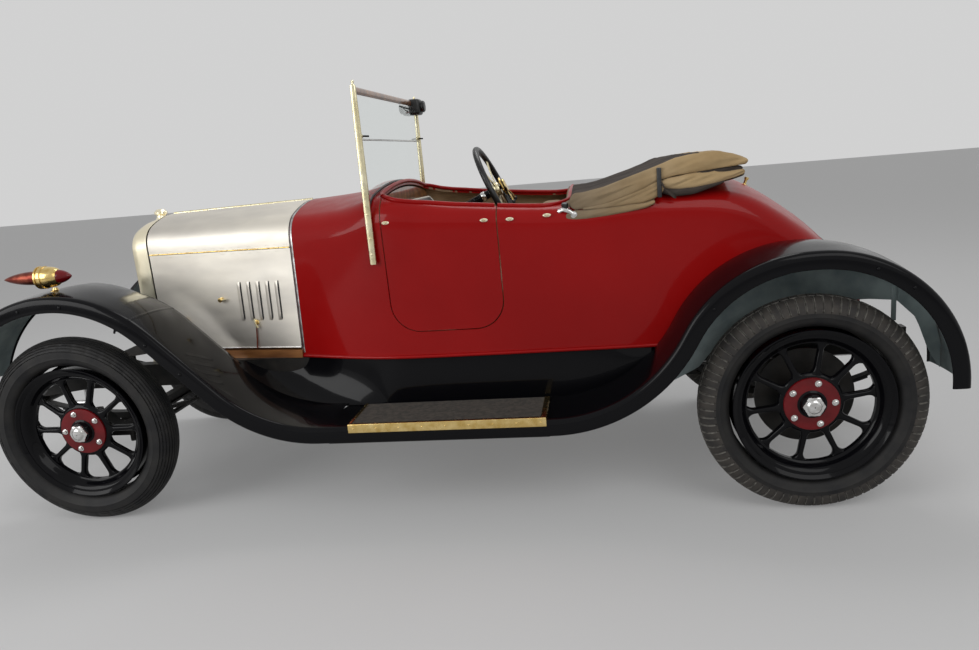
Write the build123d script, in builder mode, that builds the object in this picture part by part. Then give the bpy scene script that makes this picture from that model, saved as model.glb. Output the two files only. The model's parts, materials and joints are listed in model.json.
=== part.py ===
from build123d import *
import os
from math import atan2, cos, radians, sin, sqrt, tan

os.makedirs("parts", exist_ok=True)

# A light two-seater touring car of the 1920s. Millimetres. +X points to the front of the car,
# +Y to its left side, +Z up. The origin is on the ground, under the middle of the whole car.

# Overall sizes
WHEELBASE = 2794
TRACK = 1218
FRONT_REACH = 505
REAR_REACH = 475
LENGTH = FRONT_REACH + WHEELBASE + REAR_REACH
FRONT_AXLE_X = LENGTH / 2 - FRONT_REACH
REAR_AXLE_X = FRONT_AXLE_X - WHEELBASE

# Clearances
SEAT_GAP = 0.3
RUNNING_FIT = 0.05
MOVING_GAP = 5

# Wheels and tyres
TYRE_RADIUS = 388
TYRE_HALF_WIDTH = 59
TYRE_SHOULDER_HALF = 40
TYRE_SHOULDER_DROP = 20
TYRE_BULGE_DROP = 66
RIM_RADIUS = 268
RIM_THICKNESS = 6
RIM_HALF_WIDTH = 52
RIM_FLANGE_HEIGHT = 8
RIM_FLANGE_THICKNESS = 3.5
TYRE_BEAD_HALF = 40
FELLOE_DEPTH = 44
FELLOE_HALF_WIDTH = 20
SPOKE_COUNT = 10
SPOKE_OUTER = 12
SPOKE_INNER = -24
SPOKE_SLIM_HALF = 12
HUB_FLANGE_RADIUS = 95
HUB_FLANGE_THICKNESS = 8
HUB_BARREL_RADIUS = 40
HUB_NOSE_RADIUS = 46
HUB_NOSE_LENGTH = 28
HUB_NUT_RADIUS = 30
HUB_NUT_LENGTH = 16
HUB_BOLT_CIRCLE = 150
HUB_BOLT_COUNT = 5
HUB_BOLT_RADIUS = 9
STUB_RADIUS = 16
STUB_END = 40
HUB_INNER_END = -42
CAMBER = 2.7
WHEEL_Z = TYRE_RADIUS

# Rear brake drums
DRUM_RADIUS = 180
DRUM_OUTER = -40
DRUM_INNER = -80
DRUM_WALL = 6
DRUM_RIDGE = 4
DRUM_RIDGE_COUNT = 3

# Chassis frame
FRAME_TOP = 580
RAIL_HEIGHT = 95
RAIL_WIDTH = 50
RAIL_FLANGE = 6
RAIL_Y = 335
FRAME_REAR = 402
DUMB_IRON_REACH = 400
DUMB_IRON_Z = 440
CROSS_TUBE_RADIUS = 24
EYE_RADIUS = 22

HANGER_PLATE = 6
EYE_DROP = 8
HANDLE_Z = 494
HANDLE_BEARING = 20
HANDLE_SHAFT = 9
HANDLE_CLEAR = 34
HANDLE_THROW = 180
HANDLE_GRIP = 13
HANDLE_REACH = FRONT_REACH

# Springs
SPRING_EYE = 13
LEAF_WIDTH = RAIL_WIDTH - 2 * HANGER_PLATE - 2 * SEAT_GAP
LEAF_COUNT = 4
LEAF_THICKNESS = 7
LEAF_STEP = 85
FRONT_SPRING_HALF = 400
REAR_SPRING_HALF = 380

# Front axle and steering
BEAM_HEIGHT = 52
BEAM_WIDTH = 44
BEAM_TOP = 343
KINGPIN_Y = 522
KINGPIN_RADIUS = 10
KINGPIN_BOSS_RADIUS = 24
KINGPIN_BOSS_HALF = 38
KNUCKLE_EAR = 20
STEER_ARM_LENGTH = 140
STEER_ARM_WIDTH = 28
ARM_THICKNESS = 20
BALL_PIN_RADIUS = 8
ROD_RADIUS = 11
COLUMN_ANGLE = 24
COLUMN_Y = -225
COLUMN_RADIUS = 17
STEERING_WHEEL_BACK = 1645
STEERING_WHEEL_Z = 1175
STEERING_WHEEL_RADIUS = 200
STEERING_RIM_RADIUS = 12

HUB_FACE_GAP = MOVING_GAP
BEAM_DROP_Y = 400
BEAM_FLANGE = 10
WEB_DEPTH = 14
KNUCKLE_GAP = 0.5
KNUCKLE_FACE = 36
ROD_EAR_GAP = 3
COLUMN_TOP_GAP = 22
COLUMN_SHAFT = 9
QUADRANT_UP = 26
QUADRANT_RADIUS = 42
QUADRANT_THICKNESS = 8
LEVER_ANGLES = [60, 130]
LEVER_LENGTH = 70
LEVER_THICKNESS = 6
BOX_WIDTH = 70
BOX_HEIGHT = 110
BOX_LENGTH = 120
BOX_BRACKET = 40
WHEEL_BOSS_RADIUS = 30
WHEEL_BOSS_HALF = 16
WHEEL_SPOKES = 4
WHEEL_SPOKE_WIDTH = 26
WHEEL_SPOKE_THICKNESS = 6
BACKPLATE = 6

# Body: walls, openings and heights
BODY_BOTTOM = FRAME_TOP
WALL = 22
FLOOR_THICKNESS = 18
RADIATOR_FRONT_BACK = 95
BONNET_FRONT_BACK = 182
SCUTTLE_BACK = 855
SCREEN_BACK = 1240
DASH_BACK = 1252
COCKPIT_FRONT_BACK = 1270
COCKPIT_REAR_BACK = 1985
COCKPIT_HALF_WIDTH = 452
DOOR_FRONT_BACK = 1285
DOOR_REAR_BACK = 1722
DOOR_BOTTOM = 690
DOOR_CORNER = 110
DOOR_GAP = 5
DOOR_HINGE_OUT = 12
DOOR_HINGE_HEIGHTS = [800, 1050]
DOOR_HINGE_HALF = 30
DOOR_BARREL_RADIUS = 7
DOOR_PIN_RADIUS = 3.5
DOOR_LEAF = 26
DOOR_LEAF_THICKNESS = 4
DOOR_LEAF_ROOT = 8

# Bonnet and radiator sections: each has its place behind the front axle, half width at the bottom,
# half width at the waist, crown height, crown radius, shoulder radius
RADIATOR_SECTION = (RADIATOR_FRONT_BACK, 232, 236, 1168, 480, 90)
BONNET_FRONT_SECTION = (BONNET_FRONT_BACK, 250, 256, 1192, 500, 90)
BONNET_REAR_SECTION = (SCUTTLE_BACK, 358, 334, 1206, 760, 110)
BONNET_SKIN = 4
BONNET_BOTTOM = 618
RADIATOR_BOTTOM = 560
RADIATOR_WALL = 28
CORE_THICKNESS = 52

RADIATOR_EDGE = 16
CORE_INSET = 14
CAP_INSET = 42
CAP_TOP = 1224
CAP_HEIGHT = 60
CAP_NECK_RADIUS = 22
CAP_RADIUS = 34
CAP_RIM_HEIGHT = 22
BONNET_ROD_DROP = 7
BONNET_ROD_RADIUS = 5
BONNET_EDGE_Y = 12
TOP_BARREL_RADIUS = 8.5
BONNET_SIDE_HINGE_Z = 1035
SIDE_HINGE_GAP = 7
SIDE_BARREL_RADIUS = 5.5
SIDE_PIN_RADIUS = 3
BARREL_COUNT = 7
BARREL_GAP = 0.5
LOUVRE_COUNT = 5
LOUVRE_FRONT_BACK = 600
LOUVRE_PITCH = 44
LOUVRE_WIDTH = 14
LOUVRE_BOTTOM = 740
LOUVRE_TOP = 900
LEDGE_INSIDE = 30
LEDGE_OUTSIDE = 14

# Bulkhead, dashboard and column
BULKHEAD_THICKNESS = 12
DASH_THICKNESS = 16
DASH_BOTTOM = 930
DIAL_PLACES = [-60, 60, 190]
DIAL_Z = 1090
DIAL_RADIUS = 48
DIAL_DEPTH = 8
COLUMN_LENGTH = 1230

# Body sections behind the bonnet, with the same columns
COCKPIT_FRONT_SECTION = (COCKPIT_FRONT_BACK, 463, 491, 1249, 2210, 94)
COCKPIT_MIDDLE_SECTION = (1590, 473, 509, 1200, 2500, 64)
COCKPIT_REAR_SECTION = (COCKPIT_REAR_BACK, 472, 506, 1168, 2500, 60)
SCUTTLE_SECTIONS = [
    BONNET_REAR_SECTION,
    (1090, 428, 430, 1222, 1300, 105),
    COCKPIT_FRONT_SECTION,
]
COCKPIT_SECTIONS = [
    COCKPIT_FRONT_SECTION,
    (1420, 471, 505, 1226, 2400, 80),
    COCKPIT_MIDDLE_SECTION,
    COCKPIT_REAR_SECTION,
]
TAIL_SECTIONS = [
    COCKPIT_REAR_SECTION,
    (WHEELBASE - 440, 466, 490, 1186, 2300, 66),
    (WHEELBASE - 180, 446, 462, 1160, 1800, 84),
    (WHEELBASE + 60, 400, 412, 1006, 1200, 105),
    (WHEELBASE + 236, 340, 346, 830, 900, 105),
]

# Wings: corners of the side outline, ahead (+) or behind (-) the front axle, and heights
WING_Y = 730
WING_SKIN = 3
WING_LIP = 62
FRONT_WING_INNER = 380
REAR_WING_INNER = 400
BOARD_Z = 398
BOARD_INNER = 470
WING_TOP = 952
REAR_WING_TOP = 938
WING_SWEEP_RADIUS = 545
REAR_WING_RADIUS = 480
FRONT_WING_END = 1060
REAR_WING_START = 1880

WING_TIP_REACH = 500
WING_TIP_Z = 575
WING_NOSE = 365
WING_NOSE_RADIUS = 540
FRONT_WING_CREST = 248
FRONT_WING_SLOPE = 45
REAR_WING_CREST = 300
REAR_WING_SLOPE = 61.3
REAR_WING_FOOT_RADIUS = 520
REAR_WING_TAIL_RADIUS = 470
REAR_WING_TAIL_Z = 455
SPLASH_Y = 492

# Lower edge of the plate inside a rear wheel: places behind the front axle and heights
SPLASH_EDGE = [
    (2240, 425),
    (2300, 433),
    (2430, 500),
    (2560, 660),
    (2700, 722),
    (3018, 722),
    (3111, 713),
    (3178, 646),
    (3225, 517),
    (3262, 460),
]

# Valance and running board
STEP_MARGIN = 20
STEP_EDGE = 6
VALANCE_FOOT = 26
VALANCE_FRONT_BACK = 640
VALANCE_REAR_BACK = 2200
VALANCE_TOP_Y = 400
BOARD_THICKNESS = 20
STEP_FRONT_BACK = 1140
STEP_REAR_BACK = 1872
STEP_THICKNESS = 10

# Windscreen
POST_Y = 492
POST_WIDTH = 14
POST_DEPTH = 24
POST_BOTTOM = 960
SCREEN_TOP = 1630
SCREEN_SPLIT = 1425
SCREEN_RAIL = 16
GLASS_THICKNESS = 6
SCREEN_LOW = 1262
WIPER_Y = -428
WIPER_WIDTH = 80
WIPER_HEIGHT = 75
WIPER_DEPTH = 50

# Lamps
LAMP_AHEAD = 40
LAMP_Y = 600
LAMP_Z = 1005
LAMP_RADIUS = 42
LAMP_DRUM = 50
LAMP_TAIL = 110
LAMP_POST = 7
LAMP_FOOT = 18
LAMP_FOOT_HEIGHT = 20

# Folded hood
HOOD_FRONT_BACK = 1990
HOOD_REAR_BACK = 2625
HOOD_TOP_Z = 1277
HOOD_LOW_Z = 1120
HOOD_HALF_WIDTH = 500

# Pedals and hand levers: each lever has its place across, its place behind the front axle, how far
# its top lies behind its foot, and its height above the floor
PEDAL_PLACES = [-320, -225, -130]
PEDAL_BACK = 1010
PEDAL_Z = 690
PEDAL_ARM = 8
HAND_LEVERS = [
    (0, 1180, 120, 300),
    (70, 1230, 160, 260),
]
LEVER_ROD = 8
LEVER_KNOB = 18

# Engine and drive
ENGINE_FRONT_BACK = 225
ENGINE_LENGTH = 520
ENGINE_HALF_WIDTH = 150
ENGINE_TOP = 1010
SUMP_BOTTOM = 350
GEARBOX_BACK = 1250
GEARBOX_HALF_WIDTH = 120
TORQUE_TUBE_RADIUS = 32
AXLE_TUBE_RADIUS = 38
DIFF_RADIUS = 130
TORQUE_TUBE_RISE = 70
EXHAUST_Y = 200
EXHAUST_Z = 455
EXHAUST_RADIUS = 19
EXHAUST_END = 320
SILENCER_BACK = 1500
SILENCER_LENGTH = 420
SILENCER_RADIUS = 50

# Seats
CUSHION_TOP = 850
CUSHION_THICKNESS = 150
CUSHION_FRONT_BACK = 1500
SEAT_HALF_WIDTH = 440
BACK_THICKNESS = 110
BACK_TOP = 1120
BACK_LEAN = 9


def x_at(back):
    # A place given as millimetres behind the front axle
    return FRONT_AXLE_X - back


def cross_plane(x):
    # A plane across the car, with its first axis to the left and its second axis up
    return Plane(origin=(x, 0, 0), x_dir=(0, 1, 0), z_dir=(1, 0, 0))


def side_plane(y):
    # A plane along the car, with its first axis to the front and its second axis up
    return Plane(origin=(0, y, 0), x_dir=(1, 0, 0), z_dir=(0, -1, 0))


def level_plane(z):
    return Plane.XY.offset(z)


def section_points(section, grow):
    # The corner points of one body section: bottom, waist, shoulder and the middles of the arcs
    back, half_bottom, half_waist, crown_z, crown_radius, shoulder_radius = section
    half = half_waist + grow
    top = crown_z + grow
    big = crown_radius + grow
    small = shoulder_radius + grow
    crown_centre = top - big
    across = half - small
    rise = sqrt((big - small) ** 2 - across ** 2)
    waist_z = crown_centre + rise
    direction = atan2(rise, across)
    shoulder = (big * cos(direction), crown_centre + big * sin(direction))
    middle = direction / 2
    shoulder_middle = (across + small * cos(middle), waist_z + small * sin(middle))
    lean = (half_waist - half_bottom) / (waist_z - BODY_BOTTOM)
    return half, lean, waist_z, shoulder_middle, shoulder, top


def side_at(section, z):
    # How far out the flat side of a section lies at a height below its waist
    half, lean, waist_z, middle, shoulder, top = section_points(section, 0)
    return half - lean * (waist_z - z)


def body_section(section, grow, bottom):
    # One closed section of the body, symmetric about the middle of the car
    half, lean, waist_z, middle, shoulder, top = section_points(section, grow)
    half_bottom = half - lean * (waist_z - bottom)
    with BuildSketch(cross_plane(x_at(section[0]))) as sketch:
        with BuildLine():
            Line((-half_bottom, bottom), (half_bottom, bottom))
            Line((half_bottom, bottom), (half, waist_z))
            ThreePointArc((half, waist_z), middle, shoulder)
            ThreePointArc(shoulder, (0, top), (-shoulder[0], shoulder[1]))
            ThreePointArc((-shoulder[0], shoulder[1]), (-middle[0], middle[1]), (-half, waist_z))
            Line((-half, waist_z), (-half_bottom, bottom))
        make_face()
    return sketch


def body_form(sections, grow, bottom):
    # The solid form through a list of body sections, grown or shrunk all round
    sketches = [body_section(section, grow, bottom).sketch for section in sections]
    with BuildPart() as form:
        loft(sketches)
    return form.part


def box_between(x1, x2, y1, y2, z1, z2):
    # A plain block between two corners, kept apart from the part being made
    centre = ((x1 + x2) / 2, (y1 + y2) / 2, (z1 + z2) / 2)
    block = Box(abs(x2 - x1), abs(y2 - y1), abs(z2 - z1), mode=Mode.PRIVATE)
    return block.moved(Location(centre))


def write(part, name):
    part.label = name
    export_step(part, "parts/" + name + ".step")
    print(name, len(part.solids()), round(part.volume / 1000), part.is_valid)


SIDES = [("left", 1), ("right", -1)]

TALL = 2000
TAIL_END_X = x_at(TAIL_SECTIONS[-1][0])
BODY_PARTS = [
    ("scuttle", SCUTTLE_SECTIONS),
    ("cockpit", COCKPIT_SECTIONS),
    ("tail", TAIL_SECTIONS),
]
outer_form = {name: body_form(sections, 0, BODY_BOTTOM) for name, sections in BODY_PARTS}
inner_form = {name: body_form(sections, -WALL, BODY_BOTTOM - 50) for name, sections in BODY_PARTS}
clear_form = {name: body_form(sections, SEAT_GAP, BODY_BOTTOM - 50) for name, sections in BODY_PARTS}
bonnet_sections = [BONNET_FRONT_SECTION, BONNET_REAR_SECTION]
nose_sections = [RADIATOR_SECTION, BONNET_FRONT_SECTION]

# Scuttle: the fixed panel between the bonnet and the cockpit
with BuildPart() as scuttle:
    add(outer_form["scuttle"])
    add(inner_form["scuttle"], mode=Mode.SUBTRACT)
write(scuttle.part, "scuttle")

# Cockpit: side walls round the seats, open at the top, with the door opening on the left
with BuildPart() as cockpit_opening:
    with BuildSketch(level_plane(BODY_BOTTOM)):
        with Locations(((x_at(COCKPIT_FRONT_BACK) + x_at(COCKPIT_REAR_BACK)) / 2, 0)):
            Rectangle(COCKPIT_REAR_BACK - COCKPIT_FRONT_BACK + 2 * WALL, 2 * COCKPIT_HALF_WIDTH)
    extrude(amount=TALL)

DOOR_TALL = 1400


def door_outline(grow):
    # The door's outline in side view: square at the top, with large round corners at the bottom
    front = x_at(DOOR_FRONT_BACK) + grow
    rear = x_at(DOOR_REAR_BACK) - grow
    low = DOOR_BOTTOM - grow
    radius = DOOR_CORNER + grow
    with BuildPart() as block:
        with BuildSketch(side_plane(600)):
            with BuildLine():
                FilletPolyline(
                    (front, DOOR_TALL), (front, low), (rear, low), (rear, DOOR_TALL), radius=radius
                )
                Line((rear, DOOR_TALL), (front, DOOR_TALL))
            make_face()
        extrude(amount=250)
    return block.part


def rod_between(start, end, radius, inset_start=0, inset_end=0):
    # A round bar between two points, shortened at either end
    run = end - start
    plane = Plane(origin=start, z_dir=run.normalized())
    with BuildPart() as bar:
        with BuildSketch(plane.offset(inset_start)):
            Circle(radius)
        extrude(amount=run.length - inset_start - inset_end)
    return bar.part


hinge_share = (DOOR_REAR_BACK - COCKPIT_MIDDLE_SECTION[0]) / (COCKPIT_REAR_BACK - COCKPIT_MIDDLE_SECTION[0])
hinge_section = [
    near + (far - near) * hinge_share
    for near, far in zip(COCKPIT_MIDDLE_SECTION, COCKPIT_REAR_SECTION)
]


def door_hinge_point(z):
    # A point on the door's leaning hinge line, just outside the body's side
    return Vector(x_at(DOOR_REAR_BACK + DOOR_GAP / 2), side_at(hinge_section, z) + DOOR_HINGE_OUT, z)


def door_hinge_half(low, high, direction):
    # Half of one hinge: its barrel, and the leaf that lies on the panel ahead (+1) or behind (-1)
    pivot = door_hinge_point((low + high) / 2)
    skin = pivot.Y - DOOR_HINGE_OUT
    with BuildPart() as half:
        add(rod_between(door_hinge_point(low), door_hinge_point(high), DOOR_BARREL_RADIUS))
        add(
            box_between(
                pivot.X, pivot.X + direction * DOOR_LEAF_ROOT, skin + DOOR_LEAF_THICKNESS / 2, pivot.Y,
                low, high,
            )
        )
        add(
            box_between(
                pivot.X + direction * DOOR_GAP / 2, pivot.X + direction * DOOR_LEAF,
                skin - DOOR_LEAF_THICKNESS, skin + DOOR_LEAF_THICKNESS, low, high,
            )
        )
    return half.part


with BuildPart() as cockpit:
    add(outer_form["cockpit"])
    add(inner_form["cockpit"], mode=Mode.SUBTRACT)
    add(cockpit_opening.part, mode=Mode.SUBTRACT)
    add(door_outline(DOOR_GAP), mode=Mode.SUBTRACT)
    for hinge_z in DOOR_HINGE_HEIGHTS:
        add(door_hinge_half(hinge_z - DOOR_HINGE_HALF, hinge_z - BARREL_GAP, -1))
        add(
            rod_between(
                door_hinge_point(hinge_z - DOOR_HINGE_HALF), door_hinge_point(hinge_z + DOOR_HINGE_HALF),
                DOOR_PIN_RADIUS,
            )
        )
write(cockpit.part, "cockpit_sides")

with BuildPart() as door:
    add(outer_form["cockpit"])
    add(inner_form["cockpit"], mode=Mode.SUBTRACT)
    add(door_outline(0), mode=Mode.INTERSECT)
    add(cockpit_opening.part, mode=Mode.SUBTRACT)
    for hinge_z in DOOR_HINGE_HEIGHTS:
        add(door_hinge_half(hinge_z, hinge_z + DOOR_HINGE_HALF, 1))
    pin_hole = rod_between(
        door_hinge_point(DOOR_BOTTOM), door_hinge_point(DOOR_TALL), DOOR_PIN_RADIUS + RUNNING_FIT
    )
    add(pin_hole, mode=Mode.SUBTRACT)
write(door.part, "door_left")

# Tail: the rear deck behind the seats, closed at its end
with BuildPart() as tail:
    add(outer_form["tail"])
    add(inner_form["tail"], mode=Mode.SUBTRACT)
    add(box_between(TAIL_END_X, TAIL_END_X + WALL, -600, 600, BODY_BOTTOM, TALL) & outer_form["tail"])
write(tail.part, "tail")

# Floor boards and bulkhead
FLOOR_PARTS = [
    ("scuttle", SCUTTLE_BACK, COCKPIT_FRONT_BACK),
    ("cockpit", COCKPIT_FRONT_BACK, COCKPIT_REAR_BACK),
    ("tail", COCKPIT_REAR_BACK, WHEELBASE + 60),
]
with BuildPart() as floor_boards:
    for name, front, rear in FLOOR_PARTS:
        slab = box_between(x_at(front), x_at(rear), -600, 600, BODY_BOTTOM, BODY_BOTTOM + FLOOR_THICKNESS)
        add(slab & inner_form[name])
write(floor_boards.part, "floor_boards")

column_direction = Vector(-cos(radians(COLUMN_ANGLE)), 0, sin(radians(COLUMN_ANGLE)))
wheel_hub = Vector(x_at(STEERING_WHEEL_BACK), COLUMN_Y, STEERING_WHEEL_Z)
column_plane = Plane(origin=wheel_hub, x_dir=(0, 1, 0), z_dir=column_direction)


def column_cylinder(radius, start, end):
    # A round length along the steering column, measured up the column from the wheel's hub
    with BuildPart() as tube:
        with BuildSketch(column_plane.offset(start)):
            Circle(radius)
        extrude(amount=end - start)
    return tube.part


with BuildPart() as bulkhead:
    add(
        box_between(
            x_at(SCUTTLE_BACK), x_at(SCUTTLE_BACK + BULKHEAD_THICKNESS), -600, 600,
            BODY_BOTTOM + FLOOR_THICKNESS, TALL,
        )
        & inner_form["scuttle"]
    )
    add(column_cylinder(COLUMN_RADIUS + SEAT_GAP / 2, -COLUMN_LENGTH, 0), mode=Mode.SUBTRACT)
write(bulkhead.part, "bulkhead")

with BuildPart() as dashboard:
    add(
        box_between(x_at(DASH_BACK), x_at(DASH_BACK + DASH_THICKNESS), -600, 600, DASH_BOTTOM, TALL)
        & inner_form["scuttle"]
    )
    add(column_cylinder(COLUMN_RADIUS + SEAT_GAP / 2, -COLUMN_LENGTH, 0), mode=Mode.SUBTRACT)
    with BuildSketch(cross_plane(x_at(DASH_BACK + DASH_THICKNESS))):
        for dial_y in DIAL_PLACES:
            with Locations((dial_y, DIAL_Z)):
                Circle(DIAL_RADIUS)
    extrude(amount=-DIAL_DEPTH)
write(dashboard.part, "dashboard")

# Radiator: polished shell round an upright core, with its filler cap
nose_form = body_form(nose_sections, 0, RADIATOR_BOTTOM)
nose_opening = body_form(nose_sections, -RADIATOR_WALL, RADIATOR_BOTTOM + RADIATOR_WALL)
with BuildPart() as radiator_shell:
    add(nose_form)
    front_face = radiator_shell.faces().sort_by(Axis.X)[-1]
    fillet(front_face.edges().sort_by(Axis.Z)[1:], RADIATOR_EDGE)
    add(nose_opening, mode=Mode.SUBTRACT)
write(radiator_shell.part, "radiator_shell")

with BuildPart() as radiator_core:
    add(nose_opening)
    add(
        box_between(
            x_at(RADIATOR_FRONT_BACK + CORE_INSET),
            x_at(RADIATOR_FRONT_BACK + CORE_INSET + CORE_THICKNESS),
            -600, 600, 0, TALL,
        ),
        mode=Mode.INTERSECT,
    )
write(radiator_core.part, "radiator_core")

CAP_X = x_at(RADIATOR_FRONT_BACK + CAP_INSET)
with BuildPart() as radiator_cap:
    with BuildSketch(level_plane(CAP_TOP - CAP_HEIGHT)):
        with Locations((CAP_X, 0)):
            Circle(CAP_NECK_RADIUS)
    extrude(amount=CAP_HEIGHT)
    with BuildSketch(level_plane(CAP_TOP - CAP_RIM_HEIGHT)):
        with Locations((CAP_X, 0)):
            Circle(CAP_RADIUS)
    extrude(amount=CAP_RIM_HEIGHT)
    add(nose_form, mode=Mode.SUBTRACT)
write(radiator_cap.part, "radiator_cap")

# Bonnet: two top panels on a centre rod, each with a side panel hinged along its lower edge
bonnet_outer = body_form(bonnet_sections, 0, BONNET_BOTTOM)
bonnet_inner = body_form(bonnet_sections, -BONNET_SKIN, BONNET_BOTTOM - 50)
BONNET_FRONT_X = x_at(BONNET_FRONT_BACK + MOVING_GAP)
BONNET_REAR_X = x_at(SCUTTLE_BACK - MOVING_GAP)
ROD_FRONT = Vector(x_at(BONNET_FRONT_BACK), 0, BONNET_FRONT_SECTION[3] - BONNET_ROD_DROP)
ROD_REAR = Vector(x_at(SCUTTLE_BACK), 0, BONNET_REAR_SECTION[3] - BONNET_ROD_DROP)
side_hinge_front = side_at(BONNET_FRONT_SECTION, BONNET_SIDE_HINGE_Z) - BONNET_SKIN / 2
side_hinge_rear = side_at(BONNET_REAR_SECTION, BONNET_SIDE_HINGE_Z) - BONNET_SKIN / 2


def hinge_barrels(start, end, radius, first, margin):
    # Every second barrel of a long hinge, counted from the first one
    run = (end - start).length - 2 * margin
    pitch = run / BARREL_COUNT
    barrels = []
    for index in range(first, BARREL_COUNT, 2):
        near = margin + index * pitch + BARREL_GAP
        far = margin + (BARREL_COUNT - 1 - index) * pitch + BARREL_GAP
        barrels.append(rod_between(start, end, radius, near, far))
    return barrels


with BuildPart() as bonnet_rod:
    add(rod_between(ROD_FRONT, ROD_REAR, BONNET_ROD_RADIUS, SEAT_GAP, SEAT_GAP))
write(bonnet_rod.part, "bonnet_rod")

for side, sign in SIDES:
    hinge_front = Vector(x_at(BONNET_FRONT_BACK), sign * side_hinge_front, BONNET_SIDE_HINGE_Z)
    hinge_rear = Vector(x_at(SCUTTLE_BACK), sign * side_hinge_rear, BONNET_SIDE_HINGE_Z)
    end_margin = 2 * MOVING_GAP
    with BuildPart() as bonnet_top:
        add(bonnet_outer)
        add(bonnet_inner, mode=Mode.SUBTRACT)
        add(
            box_between(
                BONNET_REAR_X, BONNET_FRONT_X, sign * BONNET_EDGE_Y, sign * 600,
                BONNET_SIDE_HINGE_Z + SIDE_HINGE_GAP, TALL,
            ),
            mode=Mode.INTERSECT,
        )
        for barrel in hinge_barrels(ROD_FRONT, ROD_REAR, TOP_BARREL_RADIUS, (1 - sign) // 2, end_margin):
            add(barrel)
            box = barrel.bounding_box()
            add(
                box_between(
                    box.min.X + 1, box.max.X - 1, sign * (TOP_BARREL_RADIUS - 2), sign * (BONNET_EDGE_Y + 2),
                    box.center().Z - 1, box.center().Z + BONNET_ROD_DROP - 2,
                )
            )
        add(rod_between(ROD_FRONT, ROD_REAR, BONNET_ROD_RADIUS + RUNNING_FIT), mode=Mode.SUBTRACT)
        add(rod_between(hinge_front, hinge_rear, SIDE_PIN_RADIUS, end_margin, end_margin))
        for barrel in hinge_barrels(hinge_front, hinge_rear, SIDE_BARREL_RADIUS, 0, end_margin):
            add(barrel)
            box = barrel.bounding_box()
            web = box_between(
                box.min.X + 1, box.max.X - 1, sign * 100, sign * 600,
                BONNET_SIDE_HINGE_Z + SIDE_PIN_RADIUS, BONNET_SIDE_HINGE_Z + SIDE_HINGE_GAP + 1,
            )
            add((web & bonnet_outer) - bonnet_inner)
    write(bonnet_top.part, "bonnet_top_" + side)

    with BuildPart() as bonnet_side:
        add(bonnet_outer)
        add(bonnet_inner, mode=Mode.SUBTRACT)
        add(
            box_between(
                BONNET_REAR_X, BONNET_FRONT_X, sign * BONNET_EDGE_Y, sign * 600,
                BONNET_BOTTOM, BONNET_SIDE_HINGE_Z - SIDE_HINGE_GAP,
            ),
            mode=Mode.INTERSECT,
        )
        for barrel in hinge_barrels(hinge_front, hinge_rear, SIDE_BARREL_RADIUS, 1, end_margin):
            add(barrel)
            box = barrel.bounding_box()
            web = box_between(
                box.min.X + 1, box.max.X - 1, sign * 100, sign * 600,
                BONNET_SIDE_HINGE_Z - SIDE_HINGE_GAP - 1, BONNET_SIDE_HINGE_Z - SIDE_PIN_RADIUS,
            )
            add((web & bonnet_outer) - bonnet_inner)
        add(rod_between(hinge_front, hinge_rear, SIDE_PIN_RADIUS + RUNNING_FIT), mode=Mode.SUBTRACT)
        for index in range(LOUVRE_COUNT):
            louvre_x = x_at(LOUVRE_FRONT_BACK + index * LOUVRE_PITCH)
            add(
                box_between(
                    louvre_x - LOUVRE_WIDTH / 2, louvre_x + LOUVRE_WIDTH / 2, sign * 100, sign * 600,
                    LOUVRE_BOTTOM, LOUVRE_TOP,
                ),
                mode=Mode.SUBTRACT,
            )
    write(bonnet_side.part, "bonnet_side_" + side)

# Varnished ledges under the bonnet's side panels
with BuildPart() as bonnet_ledges:
    for side, sign in SIDES:
        with BuildSketch(level_plane(FRAME_TOP)):
            with BuildLine():
                front_y = side_at(BONNET_FRONT_SECTION, BONNET_BOTTOM)
                rear_y = side_at(BONNET_REAR_SECTION, BONNET_BOTTOM)
                Polyline(
                    (x_at(BONNET_FRONT_BACK), sign * (front_y - LEDGE_INSIDE)),
                    (x_at(BONNET_FRONT_BACK), sign * (front_y + LEDGE_OUTSIDE)),
                    (x_at(SCUTTLE_BACK), sign * (rear_y + LEDGE_OUTSIDE)),
                    (x_at(SCUTTLE_BACK), sign * (rear_y - LEDGE_INSIDE)),
                    close=True,
                )
            make_face()
        extrude(amount=BONNET_BOTTOM - MOVING_GAP - FRAME_TOP)
write(bonnet_ledges.part, "bonnet_ledges")


def side_profile(points, radii, y1, y2):
    # A bar or plate with a closed outline in side view, from one y to another
    with BuildPart() as bar:
        with BuildSketch(side_plane(y2)):
            with BuildLine():
                FilletPolyline(*points, radius=radii)
                Line(points[-1], points[0])
            make_face()
        extrude(amount=y2 - y1)
    return bar.part


def cross_bar(x, z, radius, half_length):
    # A round tube straight across the car
    with BuildPart() as bar:
        with BuildSketch(Plane(origin=(x, half_length, z), x_dir=(1, 0, 0), z_dir=(0, -1, 0))):
            Circle(radius)
        extrude(amount=2 * half_length)
    return bar.part


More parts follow.
